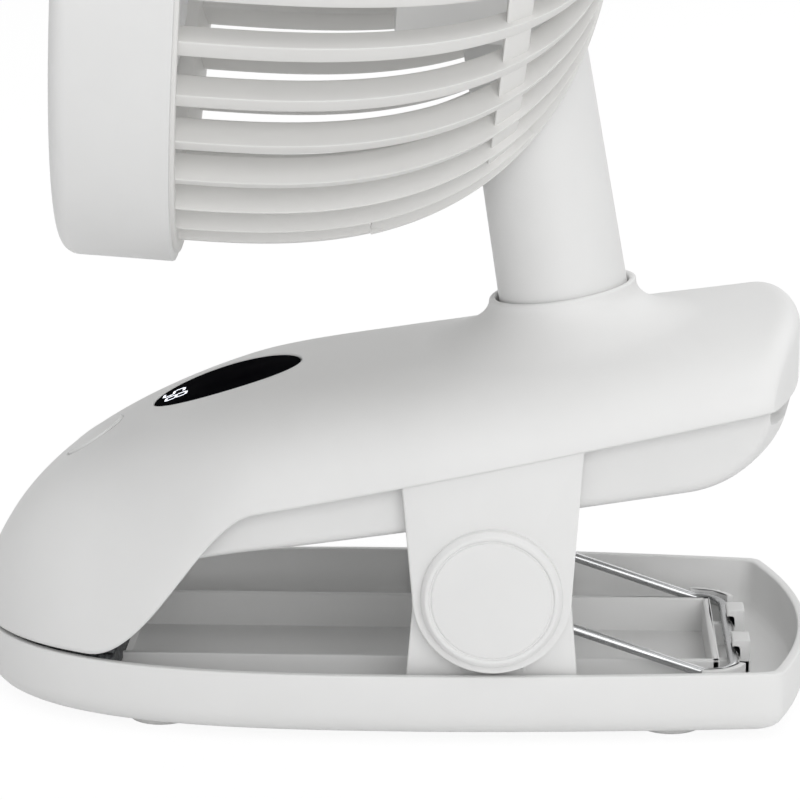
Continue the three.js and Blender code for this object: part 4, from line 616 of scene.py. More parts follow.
def flare_rings():
    """Rings from the block's border to the rim, over it and down the bore."""
    global shell_points, shell_faces
    reach = COLLAR_RIM + FLARE + 1
    limits = block_round(shell_table, (0, BODY_ROWS), (0, post_foot[1]), (reach, reach), [0, 1])
    shell_faces, border = pierced(shell_faces, shell_table.shape[1], *limits)
    flat = shell_points[border][:, [0, 1]]
    angle = np.arctan2(flat[:, 1] - post_foot[1], flat[:, 0])
    unit = np.column_stack([np.cos(angle), np.sin(angle)])
    outer = post_foot[:2] + unit * (COLLAR_RIM + FLARE)
    share = np.linspace(0, 1, 4)[1:, None, None]
    spread = flat * (1 - share) + outer * share
    radii = COLLAR_RIM + FLARE * np.linspace(1, 0, 17)[1:] ** 2.2
    slope_rings = post_foot[:2] + unit * radii[:, None, None]
    lifted = np.concatenate([on_shell(spread), on_flare(slope_rings)])
    rim_turn = np.linspace(0, np.pi, 9)[1:]
    rim_middle, rim_half = (COLLAR_RIM + COLLAR_BORE) / 2, (COLLAR_RIM - COLLAR_BORE) / 2
    rim_radii = rim_middle + rim_half * np.cos(rim_turn)
    rim_rise = -0.6 + 0.6 * np.sin(rim_turn)
    rim_radii = np.concatenate([rim_radii, [COLLAR_BORE, COLLAR_BORE]])
    rim_rise = np.concatenate([rim_rise, [-3.0, -5.9]])
    x = unit[:, 0] * rim_radii[:, None]
    y = unit[:, 1] * rim_radii[:, None]
    z = post_foot[2] + y * math.tan(lean) + rim_rise[:, None]
    rim = np.stack([x, y + post_foot[1], z], -1)
    rings = np.concatenate([lifted, rim])
    shell_faces = np.vstack([shell_faces, ring_faces(border, len(rings), len(shell_points))])
    shell_points = np.vstack([shell_points, rings.reshape(-1, 3)])


flare_rings()
print("shell skin:", len(shell_points), "points")

# %% [markdown]
# ## Giving the skin a wall
# A moulded shell is a wall of even thickness. Solidify makes the inner side and the rim from
# the open skin. The ears are plates of their own that hang from the wall on both sides.

# %% The shell piece
def facing(points, faces, middle):
    """Turns all faces over when most of them look at a middle point."""
    centre = points[faces].mean(1)
    corner = points[faces]
    normal = np.cross(corner[:, 2] - corner[:, 0], corner[:, 3] - corner[:, 1])
    looking_out = np.einsum("ij,ij->i", normal, centre - middle).sum() > 0
    return faces if looking_out else faces[:, ::-1]


def thicken(piece, millimetres):
    """Gives an open skin a wall that grows inwards, by Solidify."""
    wall = piece.modifiers.new("wall", "SOLIDIFY")
    wall.thickness = millimetres * MM
    wall.offset = -1
    wall.use_even_offset = False
    wall.use_rim = True


skin = make_piece(
    "jaw_shell", (shell_points, facing(shell_points, shell_faces, np.array([0, -10, 30]))),
    "upper_jaw", "white_shell", "top_shell", crease=50,
)
thicken(skin, 1.4)

# %% The ears that hang from the shell
def lip_line(y):
    """Height of the shell's lower edge at one place."""
    return float(lip(np.array(float(y))))


def upper_ear_loop():
    """Straight sides down to the pivot's height and a half circle of 15.8 below it."""
    turn = np.linspace(np.pi, 2 * np.pi, 41)
    bottom = np.column_stack([15.8 * np.cos(turn), PIVOT_HEIGHT + 15.8 * np.sin(turn)])
    return np.vstack([[[-17.8, lip_line(-17.8) + 1.5], [-17.8, lip_line(-17.8)]], bottom,
                      [[17.8, lip_line(17.8)], [17.8, lip_line(17.8) + 1.5]]])


def under_the_skin(surface):
    """The ear's outer face stays half a millimetre inside the shell's own side."""
    points, faces = surface
    limit = half_width(points[:, 1]) - 0.5
    x = np.sign(points[:, 0]) * np.minimum(np.abs(points[:, 0]), np.maximum(limit, 41.5))
    return np.column_stack([x, points[:, 1:]]), faces


ears = [
    under_the_skin(plate(upper_ear_loop(), side * 42.1 - 1.7, side * 42.1 + 1.7, 0, edge=0.5))
    for side in (-1, 1)
]
make_piece("jaw_ears", together(*ears), "upper_jaw", "white_shell", crease=35)

# %% [markdown]
# ## The belly cover
# Below the shell hangs a deeper tub with rounder flanks. It is the same kind of arch turned
# upside down, with the fuller exponent 14, and its tail curls up to the shell at the rear.

# %% The belly piece
def belly(y):
    """Underside: a sloping line, a quarter curve at the tail and the throat's climb in front."""
    line = 42.7 + 0.1455 * y
    tail = np.clip((y - 38) / (SHELL_REAR - 38), 0, 1)
    raised = line + (lip(y) - line) * (1 - np.sqrt(1 - tail**2))
    return np.minimum(raised, lip(y) + 2.1)


def belly_table():
    """Sections as superellipses |x/w|^14 + |z|^14 = 1 below a chord, closed above by the chord."""
    rear = SHELL_REAR - 0.6
    y = np.concatenate([
        -102.5 + 21 * (1 - np.cos(np.linspace(0, np.pi / 2, 16))),
        np.linspace(-81.5, 38, 70)[1:],
        38 + (rear - 38) * np.sin(np.linspace(0, np.pi / 2, 18)[1:]),
    ])
    turn = np.pi * smooth_step(np.linspace(0, 1, 61), 0, 1)
    reach = np.sign(np.cos(turn)) * np.abs(np.cos(turn)) ** (1 / 7)
    fall = np.abs(np.sin(turn)) ** (1 / 7)
    width = np.maximum(half_width(y, 4.5), 0.8)[:, None]
    chord = (lip(y) + 3.4)[:, None]
    low = np.minimum(belly(y)[:, None], chord - 1)
    x = np.concatenate([width * reach, width * reach[::-1]], 1)
    z = np.concatenate([chord + (low - chord) * fall, np.repeat(chord, 61, 1)], 1)
    station = np.repeat(y[:, None], x.shape[1], 1) + bulge(y)[:, None] * (1 - (x / width) ** 2)
    return np.stack([x, station, z], -1)


make_piece("belly_tub", solid(belly_table()),
           "upper_jaw", "white_shell", "belly_cover", crease=50)

# %% [markdown]
# ## The tray
# The base is a shallow boat. One wall profile, from the middle of its underside round the
# lower edge, over the rim and back to the middle of its floor, is carried round the whole
# outline, so the wall, the edge's rounding and the floor are one closed surface.

# %% The tray's boat
def towards_middle(row, shares, z):
    """Rows of a loop drawn together to one point, for a flat floor."""
    middle = np.array([0, -15, z])
    flat = row.copy()
    flat[:, 2] = z
    return np.stack([middle + (flat - middle) * share for share in shares])


edge_turn = np.linspace(np.pi / 2, 0, 8)
lower_edge = [(5 - 5 * math.sin(t), 5 - 5 * math.cos(t) ** 0.9) for t in edge_turn]
rim_turn = np.linspace(0, np.pi / 2, 4)
rim_out = [(12.5 + 0.4 * math.sin(t), 0.4 * (1 - math.cos(t))) for t in rim_turn]
rim_in = [(12.9 - 0.4 * (1 - math.cos(t)), 1.4 + 0.4 * math.sin(t)) for t in rim_turn]
inner_wall = [(6.0, 1.8), (4.4, 2.0), (3.2, 2.4), (2.4, 3.0), (2.0, 4.2)]
wall = stack(lower_edge + rim_out + rim_in + inner_wall)
under = towards_middle(wall[0], [0, 0.5, 0.97], 0.0)
floor_rows = towards_middle(wall[-1], [0.97, 0.5, 0], 2.0)
boat = solid(np.concatenate([under, wall, floor_rows]), capped=False)

# %% Ribs, ears, hooks and wire guides of the tray
BEND_X, BEND_Y, BEND_RADIUS = 19.5, 43.4, 6


def base_ear_loop():
    """Straight foot, slightly drawn-in sides and a round top of 12.4 about the pivot."""
    turn = np.linspace(0.25, np.pi - 0.25, 33)
    top = np.column_stack([12.4 * np.cos(turn), PIVOT_HEIGHT + 12.4 * np.sin(turn)])
    right, left = [[17, 1], [17, 12.9], [15.8, 26.3]], [[-15.8, 26.3], [-17, 12.9], [-17, 1]]
    return np.vstack([left[-1:], right, top, left[:-1]])


def bend_guide(side):
    """A quarter of a ring outside the wire's bend."""
    turn = np.linspace(-0.1, np.pi / 2 - 0.35, 15)
    outer, inner = (
        np.column_stack([BEND_X + r * np.cos(turn), BEND_Y + r * np.sin(turn)])
        for r in (8.85, 7.45)
    )
    return plate(np.vstack([outer, inner[::-1]]) * [side, 1], 1, 9.4, 2, edge=0.25)


def seat_table():
    """The block under the mouth pad: the inner outline in front of y=-76, as levels."""
    rows = []
    for z, inset in [(1.0, 3.0), (4.0, 1.5), (7.7, 1.5), (8.0, 1.8)]:
        loop = outline(inset)
        loop = loop[loop[:, 1] <= -76]
        order = np.argsort(np.arctan2(loop[:, 0], -(loop[:, 1] + 60)))
        rows.append(np.column_stack([loop[order], np.full(len(order), z)]))
    least = min(len(row) for row in rows)
    return np.stack([row[:least] for row in rows])


def hook(x):
    """A post behind the cross wire and a lip over it, drawn as one loop seen from the side."""
    front, back, lip_front, top, lip_low = 50.85, 53.25, 49.45, 11.05, 9.45
    side_view = [[front, 1], [back, 1], [back, top],
                 [lip_front, top], [lip_front, lip_low], [front, lip_low]]
    return plate(softened(side_view, 0.35), x - 3, x + 3, 0, edge=0.25)


ribs = [plate(box_loop(min(x), max(x), -76.5, 46.5, 0.3), 1.5, 9.4, 2, edge=0.35)
        for x in ((21.5, 19.9), (-21.5, -19.9))]
end_rib = plate(box_loop(-21.5, 21.5, 44.9, 46.5, 0.3), 1.5, 9.4, 2, edge=0.35)
rests = [plate(box_loop(x - 1, x + 1, 45.5, 53.4, 0.2), 1, 6.65, 2, edge=0.2)
         for x in (-12, 12)]
base_ears = [plate(base_ear_loop(), x - 2.1, x + 2.1, 0, edge=0.4) for x in (-37.9, 37.9)]
draft_lines = [
    plate(box_loop(y - 0.35, y + 0.35, 12.9, 17.2, 0.2), side * 39.8, side * 40.25, 0, edge=0.12)
    for side in (-1, 1) for y in (-6.4, 6.4)
]
guides = [bend_guide(side) for side in (-1, 1)]
hooks = [hook(x) for x in (-10, 10)]
tray = together(
    boat, solid(seat_table()), *ribs, end_rib, *rests, *base_ears, *draft_lines, *guides, *hooks
)
make_piece("base_boat", tray, "base", "white_shell", "base_tray", crease=38)

# %% [markdown]
# ## Pads and feet
# The clip bites with two dark silicone pads that meet in the mouth. They follow the outline,
# end in a straight edge behind, and have five shallow grooves across. The feet are low discs.

# %% Pads
def pad_table(low, high, groove_side):
    """The outline in front of y=-76, in rows from the back to the tip, with grooves 0.4 deep."""
    tip_turn = np.linspace(0, np.pi / 2, 30)[1:]
    y = np.concatenate([np.linspace(-76.3, -98, 140), -98 - 6.4 * np.sin(tip_turn)])
    width = np.maximum(half_width(y, 2.6), 0.05)[:, None]
    groove = np.zeros_like(y)
    for place in (-80, -83, -86, -89, -92):
        groove = np.maximum(groove, 0.4 * np.exp(-(((y - place) / 0.42) ** 6)))
    turn = np.linspace(0, 2 * np.pi, 64, endpoint=False)
    across_share = np.sign(np.cos(turn)) * np.abs(np.cos(turn)) ** 0.22
    up_share = np.sign(np.sin(turn)) * np.abs(np.sin(turn)) ** 0.22
    middle, half = (low + high) / 2, (high - low) / 2
    top_dip = groove[:, None] * (up_share > 0) * (groove_side > 0)
    low_dip = groove[:, None] * (up_share < 0) * (groove_side < 0)
    z = middle + half * up_share - top_dip + low_dip
    return np.stack([width * across_share, np.repeat(y[:, None], 64, 1), z], -1)


make_piece("mouth_pad_lower", solid(pad_table(8.3, 13.3, 1)),
           "base", "grey_pad", "lower_pad", crease=30)
make_piece("mouth_pad_upper", solid(pad_table(13.6, 15.8, -1)),
           "upper_jaw", "grey_pad", "upper_pad", crease=30)

# %% Feet
foot_places = {
    "front_left": (-28, -67.5), "front_right": (28, -67.5),
    "rear_left": (-29, 36), "rear_right": (29, 36),
}
foot_profile = fine([[0, -1.6], [6.6, -1.6], [7, -1.0], [7, 0.3], [0, 0.3]], 0.25)
for place, (x, y) in foot_places.items():
    points, faces = turned(foot_profile, 48, "z")
    make_piece("soft_foot_" + place, (points + [x, y, 0], faces),
               "base", "pale_foot", "foot_" + place)

# %% [markdown]
# ## Pivot caps
# A round cap hides each end of the steel pin. It has a soft outer edge, a fine groove and a
# flat middle, so its profile is drawn once and turned about the pivot's axis.

# %% Pivot caps
cap_profile = fine([
    [0, -1.5], [13.7, -1.5], [14.0, -1.0], [14.0, 1.1], [13.1, 2.0],
    [12.4, 2.0], [12.25, 1.55], [11.95, 1.55], [11.8, 1.92], [0, 1.92],
], 0.22)
for name, side in (("right", 1), ("left", -1)):
    points, faces = turned(cap_profile, 128, "x")
    points = (points + [44.1, 0, PIVOT_HEIGHT]) * [side, 1, 1]
    make_piece("cap_" + name, (points, outwards(points, faces)),
               "upper_jaw", "white_shell", "pivot_cap_" + name, crease=30)

# %% [markdown]
# ## Display and button
# The display is an oval black window, flush in its opening, and its two lit digits lie a hair
# over the glass. It is drawn as rings of an ellipse that lie on the arch's own formula, so it
# keeps the shell's curve. The button is a shallow dome a little proud of the nose.

# %% The window
def oval_on_shell(middle_y, radius_x, radius_y, profile, steps=120):
    """Rings of an ellipse on the arch; a profile pair is a ring's share of radius and height."""
    profile = np.asarray(profile, float)
    angle = np.linspace(0, 2 * np.pi, steps, endpoint=False)
    x = radius_x * profile[:, :1] * np.cos(angle)
    y = middle_y + radius_y * profile[:, :1] * np.sin(angle)
    slope = crest_slope(middle_y)
    z = shell_height(x, y) + profile[:, 1:2] * math.hypot(1, slope)
    return np.stack([x, y, z], -1)


rounding = [
    (1 - 0.012 * (1 - math.sin(t)), -0.10 - 0.25 * (1 - math.cos(t)))
    for t in np.linspace(0, np.pi / 2, 5)
]
top_rings = [(share, -0.10) for share in np.linspace(0.0, 0.988, 18)]
window_profile = top_rings + rounding[1:] + [(1.0, -1.4), (0.0, -1.4)]
window_table = oval_on_shell(DISPLAY_Y, 12.5, 16.0 * display_cos, window_profile)
make_piece("display_glass", solid(window_table, capped=False),
           "upper_jaw", "black_window", "display_window", crease=35)

# %% Lit digits
SEGMENTS = {"5": "afgcd", "8": "abcdefg"}
SEGMENT_PLACES = {
    "a": (0, 1, 0), "g": (0, 0, 0), "d": (0, -1, 0),
    "f": (-0.5, 0.5, 1), "b": (0.5, 0.5, 1), "e": (-0.5, -0.5, 1), "c": (0.5, -0.5, 1),
}


def segment(digit_x, letter, width=2.7, height=2.1, thick=0.55):
    """A bar with pointed ends, across (0) or along (1) its digit, a hair over the glass."""
    x, y, upright = SEGMENT_PLACES[letter]
    length = (height if upright else width) / 2 - 0.12
    half = thick / 2
    bar = np.array([[-length, 0], [-length + half, -half], [length - half, -half],
                    [length, 0], [length - half, half], [-length + half, half]])
    bar = bar[:, ::-1] if upright else bar
    flat = bar + [digit_x + x * width, DIGIT_Y + y * height + 0.2 * digit_x]
    ground = shell_height(flat[:, 0], flat[:, 1])
    return solid(np.stack([np.column_stack([flat, ground + z]) for z in (-0.20, -0.06)]))


DIGIT_Y = -67.0
bars = [segment(x, letter) for x, digit in ((-2.1, "5"), (2.1, "8")) for letter in SEGMENTS[digit]]
digits = make_piece("lit_digits", together(*bars), "upper_jaw", "black_window")
dress(digits, "lit_digit")

# %% The button
def button_table(steps=72):
    """A crown of 0.9 less 0.7 s^3, a rounded edge and a side, turned about the crest's normal."""
    share = np.linspace(0, 0.97, 16)
    crown = [(6.8 * s, 0.9 - 0.7 * s**3) for s in share]
    edge = [(6.8 - 0.25 * (1 - math.sin(t)), 0.22 * math.cos(t) - 0.1)
            for t in np.linspace(0.3, np.pi / 2, 5)]
    profile = np.array(crown + edge + [(6.8, -4.1), (8.2, -4.1), (8.2, -5.1), (0, -5.1)])
    angle = np.linspace(0, 2 * np.pi, steps, endpoint=False)
    tilt = math.atan(crest_slope(BUTTON_Y))
    x = profile[:, :1] * np.cos(angle)
    along = profile[:, :1] * np.sin(angle)
    up = np.repeat(profile[:, 1:2], steps, 1)
    y = BUTTON_Y + along * math.cos(tilt) - up * math.sin(tilt)
    z = float(crest(np.array(BUTTON_Y))) + along * math.sin(tilt) + up * math.cos(tilt)
    return np.stack([x, y, z], -1)


make_piece("push_button", solid(button_table(), capped=False),
           "power_button", "white_shell", "power_button", crease=40)

# %% [markdown]
# ## The spring
# One steel wire makes the whole double spring: short arms under the belly, two coils round
# the pin, two long legs, and a cross wire held in the tray's hooks. Its route is made of
# straight lines, a quarter turn and a helix, and a round section is carried along it. As the
# jaw opens the arms follow the jaw and the legs stay with the tray; the piece itself is
# taken off every body and its place is baked into its points.

# %% The wire's route
WIRE, COIL, PITCH = 1.05, 6.3, 2.7


def tangent_turn(y, z, side):
    """Angle on the coil where a straight wire from a point meets it."""
    return math.atan2(z, y) + side * math.acos(COIL / math.hypot(y, z))


def half_route():
    """From the middle of the cross wire to the end of an arm, relative to the pin's axis."""
    tail = 8 - PIVOT_HEIGHT
    arm_end = (12.0, float(belly(np.array(12.0))) - PIVOT_HEIGHT - WIRE - 0.39)
    leg_turn = tangent_turn(BEND_Y, tail, -1)
    sweep = leg_turn - tangent_turn(*arm_end, 1) + 5 * 2 * math.pi
    advance = PITCH * sweep / (2 * math.pi)
    leg_x = BEND_X + BEND_RADIUS
    cross_x = np.linspace(0, BEND_X, 14)[:-1]
    cross = np.column_stack([cross_x, np.full(13, BEND_Y + BEND_RADIUS), np.full(13, tail)])
    turn = np.linspace(np.pi / 2, 0, 12)
    corner = np.column_stack([
        BEND_X + BEND_RADIUS * np.cos(turn), BEND_Y + BEND_RADIUS * np.sin(turn), np.full(12, tail)
    ])
    share = np.linspace(0, 1, 210)
    turn = leg_turn - sweep * share
    coil = np.column_stack([leg_x - advance * share, COIL * np.cos(turn), COIL * np.sin(turn)])
    leg = corner[-1] + (coil[0] - corner[-1]) * np.linspace(0, 1, 24)[1:-1, None]
    to_end = np.array([leg_x - advance, *arm_end]) - coil[-1]
    arm = coil[-1] + to_end * np.linspace(0, 1, 10)[1:, None]
    return np.vstack([cross, corner, leg, coil, arm])


right_half = half_route()
route = np.vstack([right_half[:0:-1] * [-1, 1, 1], right_half]) + [0, 0, PIVOT_HEIGHT]


def tube(path, radius, sides=14):
    """A round section along a path; each frame is the last one, turned as the path turns."""
    tangent = np.gradient(path, axis=0)
    tangent /= np.linalg.norm(tangent, axis=1)[:, None]
    normal = np.cross(tangent[0], [0, 1, 0.3])
    normals = []
    for direction in tangent:
        normal = normal - direction * np.dot(normal, direction)
        normal = normal / np.linalg.norm(normal)
        normals.append(normal)
    normals = np.array(normals)
    binormals = np.cross(tangent, normals)
    angle = np.linspace(0, 2 * np.pi, sides, endpoint=False)[None, :, None]
    around = np.cos(angle) * normals[:, None] + np.sin(angle) * binormals[:, None]
    return solid(path[:, None] + radius * around)


spring = make_piece("spring_wire", tube(route, WIRE), "base", "steel", "clip_spring", crease=60)
spring.parent = None
del spring["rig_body"]
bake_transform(spring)

# %% [markdown]
# ## The post
# The post is a slightly tapered tube that leans forward. Its ball end hides in the head and
# its foot turns in the collar. It is turned about Z and then stood on the collar, leaning.

# %% The post
def on_post(points):
    """Points built about Z from the collar's top, leaned by 9.4 degrees and moved to the collar."""
    c, s = math.cos(lean), math.sin(lean)
    x, y, z = points[:, 0], points[:, 1], points[:, 2]
    return np.column_stack([x, y * c - z * s + post_foot[1], y * s + z * c + post_foot[2]])


ball = [(12 * math.cos(t), 79.9 + 12 * math.sin(t)) for t in np.linspace(np.pi / 2, 0, 17)]
sides = [(12 + 1.3 * s, 79.9 * (1 - s)) for s in np.linspace(0, 1, 30)[1:]]
post_profile = ball + sides + [(13.3, -5.4), (13.0, -5.7), (9, -5.7), (9, -16), (0, -16)]
points, faces = turned(post_profile, 128, "z")
points = on_post(points)
make_piece("post", (points, outwards(points, faces)),
           "neck", "white_shell", "neck_post", crease=35)

# %% [markdown]
# ## The head's frame of reference
# The head is built about its own axis with the tilt pin at the origin, as it was in the CAD,
# and is then turned by its yaw and tilt and moved to the top of the post.

# %% From head to row frame
head_x = np.array([0.998719, 0.049914, 0.008263])
head_y = np.array([-0.049111, 0.995691, -0.078662])
head_z = np.array([-0.012154, 0.078156, 0.996867])
head_origin = np.array([0, 0.450256, 161.727116])


def in_head(surface):
    """A surface carried from the head's frame into the row frame."""
    points, faces = surface
    x, y, z = points[:, :1], points[:, 1:2], points[:, 2:3]
    return x * head_x + y * head_y + z * head_z + head_origin, faces


# %% [markdown]
# ## The slatted dome
# Forty slats run from the front ring to the pole like lines of longitude. Each is a fin whose
# upper edge lies on the dome and whose lower corner is drawn in, so that the dome looks
# louvred. All forty are worked out together: the dome's profile gives radius and place at
# each station, and a rounded four-cornered section is set there, thinner towards the pole.

# %% The dome's profile
FRONT = -60.0
DEPTH, RADIUS = 83.0, 72.8


def dome_profile(turn):
    """Place 83 sin^(2/2.7), radius 72.8 cos^(2/2.3), and the outward normal of that curve."""
    along = DEPTH * np.sin(turn) ** (2 / 2.7)
    radius = RADIUS * np.maximum(np.cos(turn), 0) ** (2 / 2.3)
    normal = np.stack([
        (radius / RADIUS) ** 1.3 * 2.3 / RADIUS, (along / DEPTH) ** 1.7 * 2.7 / DEPTH
    ], -1)
    return radius, FRONT + along, normal / np.linalg.norm(normal, axis=-1, keepdims=True)


def dome_radius(y):
    """Radius of the dome at a place along its axis."""
    share = np.clip((y - FRONT) / DEPTH, 0, 1)
    return RADIUS * (1 - share**2.7) ** (1 / 2.3)


def dome_place(radius):
    """Place along the axis where the dome has a radius."""
    return FRONT + DEPTH * (1 - (radius / RADIUS) ** 2.3) ** (1 / 2.7)


# %% Forty slats
SLATS, STATIONS = 40, 56
SLAT_THICK, SLAT_DEPTH = 3.9, 6.3
SLOT_HALF, RAIL_OUT, PLATE_RADIUS = 15.2, 18.4, 21.0
BAR_FRONT, BAR_REAR, RAIL_DEEP = -21.2, -18.0, 5.2
slat_angle = (np.arange(SLATS) + 0.5) * 2 * np.pi / SLATS
sideways = np.abs(np.sin(slat_angle))
lower = np.cos(slat_angle) > 0
end_radius = np.where(lower, np.maximum(20.6, RAIL_OUT / np.maximum(sideways, 1e-6)), 20.6)
turn_by_radius = np.arccos(np.clip(end_radius / RADIUS, 0, 1) ** 1.15)
turn_by_place = math.asin((38.95 / DEPTH) ** 1.35)
last_turn = np.where(lower & (end_radius > 70), turn_by_place, turn_by_radius)
last_turn = np.where(lower, np.maximum(last_turn, turn_by_place), last_turn)
slat_turn = last_turn[:, None] * np.linspace(0, 1, STATIONS) ** 1.15
radius, place, normal = dome_profile(slat_turn)
wide = radius / RADIUS
thick, depth = SLAT_THICK * wide, SLAT_DEPTH * (0.35 + 0.65 * wide)
corner_list = np.stack([
    np.stack([-1.4 * wide, 0 * wide], -1),
    np.stack([0 * wide, thick], -1),
    np.stack([-depth, thick], -1),
    np.stack([-depth - 0.6 * wide, thick * 0.45], -1),
], -2)
before = np.roll(corner_list, 1, -2) - corner_list
after = np.roll(corner_list, -1, -2) - corner_list
before_length = np.linalg.norm(before, axis=-1, keepdims=True)
after_length = np.linalg.norm(after, axis=-1, keepdims=True)
soft = 0.55 * wide[..., None, None]
start_point = corner_list + before / before_length * np.minimum(soft, 0.4 * before_length)
end_point = corner_list + after / after_length * np.minimum(soft, 0.4 * after_length)
t = np.linspace(0, 1, 4)[:, None]
section = (
    (1 - t) ** 2 * start_point[..., None, :]
    + 2 * t * (1 - t) * corner_list[..., None, :]
    + t**2 * end_point[..., None, :]
).reshape(SLATS, STATIONS, 16, 2)
out_way = np.stack([np.sin(slat_angle), 0 * slat_angle, -np.cos(slat_angle)], -1)[:, None, None, :]
slat_side = np.sign(np.sin(slat_angle))
up_way = np.stack([np.cos(slat_angle), 0 * slat_angle, np.sin(slat_angle)], -1) * slat_side[:, None]
up_way = up_way[:, None, None, :]
out_amount = radius[..., None] + normal[..., None, 0] * section[..., 0]
along_amount = place[..., None] + normal[..., None, 1] * section[..., 0]
slat_tables = (
    out_way * out_amount[..., None]
    + np.array([0, 1, 0]) * along_amount[..., None]
    + up_way * section[..., 1][..., None]
)
slat_tables[:, 0, :, 1] -= 3
print("slats:", slat_tables.shape)


# %% Band and hoop of each quarter
def arc_ring(profile, first, last, steps=40):
    """A closed profile carried round the head's axis between two angles from the bottom."""
    profile = np.asarray(profile, float)
    angle = np.linspace(first, last, steps + 1)
    x = np.sin(angle)[:, None] * profile[:, 0]
    z = -np.cos(angle)[:, None] * profile[:, 0]
    y = np.repeat(profile[None, :, 1], len(angle), 0)
    return solid(np.stack([x, y, z], -1))


band_profile = softened([
    [64.2, -65], [74.3, -65], [74.3, -61.6], [75.2, -61.0],
    [75.2, -59.2], [72.4, -59.2], [64.2, -61.6],
], 0.4)
hoop_profile = softened([
    [float(dome_radius(y)) - below_dome, y]
    for y, below_dome in ((0.5, 7.6), (0.5, 2), (5.5, 2), (5.5, 7.6))
], 0.6)
quarters = {"lower_right": 0, "upper_right": 1, "upper_left": 2, "lower_left": 3}
for name, quarter in quarters.items():
    first, last = quarter * np.pi / 2 + 0.002, (quarter + 1) * np.pi / 2 - 0.002
    slot_half = math.asin(18.6 / float(dome_radius(3.0)))
    hoop_first = first + slot_half if quarter == 0 else first
    hoop_last = last - slot_half if quarter == 3 else last
    parts = [solid(table) for table in slat_tables[quarter * 10:quarter * 10 + 10]]
    parts += [arc_ring(band_profile, first, last), arc_ring(hoop_profile, hoop_first, hoop_last)]
    make_piece("slats_" + name, in_head(together(*parts)),
               "head", "white_cage", "cage_" + name, crease=38)

# %% [markdown]
# ## The neck's slot
# The post swings in a slot at the back of the dome. A frame closes the slats off there: a
# horseshoe plate over the pole, two rails that follow the dome, and a bar across the front.

# %% The slot's frame
def horseshoe():
    """Points between the slot's edge and the plate's round edge, closed to a slab."""
    leg = math.asin(SLOT_HALF / PLATE_RADIUS)
    round_angle = np.linspace(leg, 2 * np.pi - leg, 91)
    outer = PLATE_RADIUS * np.column_stack([np.sin(round_angle), -np.cos(round_angle)])
    leg_z = np.linspace(outer[0, 1], -5, 16)[:-1]
    arc = np.linspace(0, np.pi, 61)
    inner = np.vstack([
        np.column_stack([np.full(15, SLOT_HALF), leg_z]),
        np.column_stack([SLOT_HALF * np.cos(arc), -5 + 9 * np.sin(arc)]),
        np.column_stack([np.full(15, -SLOT_HALF), leg_z[::-1]]),
    ])
    share = np.linspace(0, 1, 12)[:, None, None]
    flat = inner * (1 - share) + outer * share
    distance = np.hypot(flat[..., 0], flat[..., 1])
    rim, pole = float(dome_place(PLATE_RADIUS)), FRONT + DEPTH
    top = pole + (rim - pole) * (distance / PLATE_RADIUS) ** 2 + 0.7
    top -= 0.5 * smooth_step(share[..., 0], 0.93, 1.0)
    bottom = np.full_like(top, rim - 4.4)
    upper = np.stack([flat[..., 0], top, flat[..., 1]], -1)
    under_side = np.stack([flat[..., 0], bottom, flat[..., 1]], -1)
    section_loop = np.concatenate([upper, under_side[::-1]], 0)
    return solid(np.transpose(section_loop, (1, 0, 2)))


def rail(side):
    """A rail from the front bar to the plate, its outer edge level with the slats' ridges."""
    last = float(dome_place(PLATE_RADIUS))
    s = np.linspace(0, 1, 40)
    y = BAR_FRONT + (last - BAR_FRONT) * (1 - (1 - s) ** 1.6)
    z = -np.sqrt(np.maximum(dome_radius(y) ** 2 - 16.8**2, 0))
    deep_y, deep_z = y - 3.2 * smooth_step(y, -12, last), z + RAIL_DEEP
    low, high = sorted((side * SLOT_HALF, side * RAIL_OUT))
    return solid(np.stack([
        np.column_stack([np.full(40, x), *place]) for x, place in (
            (low + 0.3, (y, z)), (high - 0.3, (y, z)), (high, (y - 0.1, z + 0.3)),
            (high, (deep_y, deep_z)), (low, (deep_y, deep_z)), (low, (y - 0.1, z + 0.3)),
        )
    ], 1))


bar_half = math.asin(RAIL_OUT / float(dome_radius(BAR_REAR)))
bar_front, bar_rear = (float(dome_radius(y)) + 0.05 for y in (BAR_FRONT, BAR_REAR))
bar_profile = softened([
    [bar_front - RAIL_DEEP, BAR_FRONT], [bar_front, BAR_FRONT],
    [bar_rear, BAR_REAR], [bar_rear - RAIL_DEEP, BAR_REAR],
], 0.3)
slot_bar = arc_ring(bar_profile, -bar_half, bar_half, 24)
make_piece("slot_surround", in_head(together(horseshoe(), rail(1), rail(-1), slot_bar)),
           "head", "white_cage", "slot_frame", crease=38)

# %% [markdown]
# ## Front ring and grille
# The front ring is a deep hoop with a rounded front corner. Behind its lip sits the grille:
# swept spokes between an outer band and a middle plate with a plain cap, and one thin ring.

# %% Front ring
ring_corner = [
    (73.5 + 3.5 * math.cos(t), -79.1 - 3.5 * math.sin(t)) for t in np.linspace(0, np.pi / 2, 12)
]
ring_profile = [(76.6, -60.0), (76.88, -60.12), (77, -60.4)] + ring_corner
ring_profile += [(72.6, -82.6), (72.3, -82.4), (72.2, -82.0), (72.2, -81)]
ring_profile += [(74.6, -79.6), (74.6, -60.3), (74.9, -60.0), (76.6, -60.0)]
make_piece("ring_hoop", in_head(turned(ring_profile, 224)),
           "head", "white_shell", "front_ring", crease=35)

# %% Grille
GRILLE = -79.3


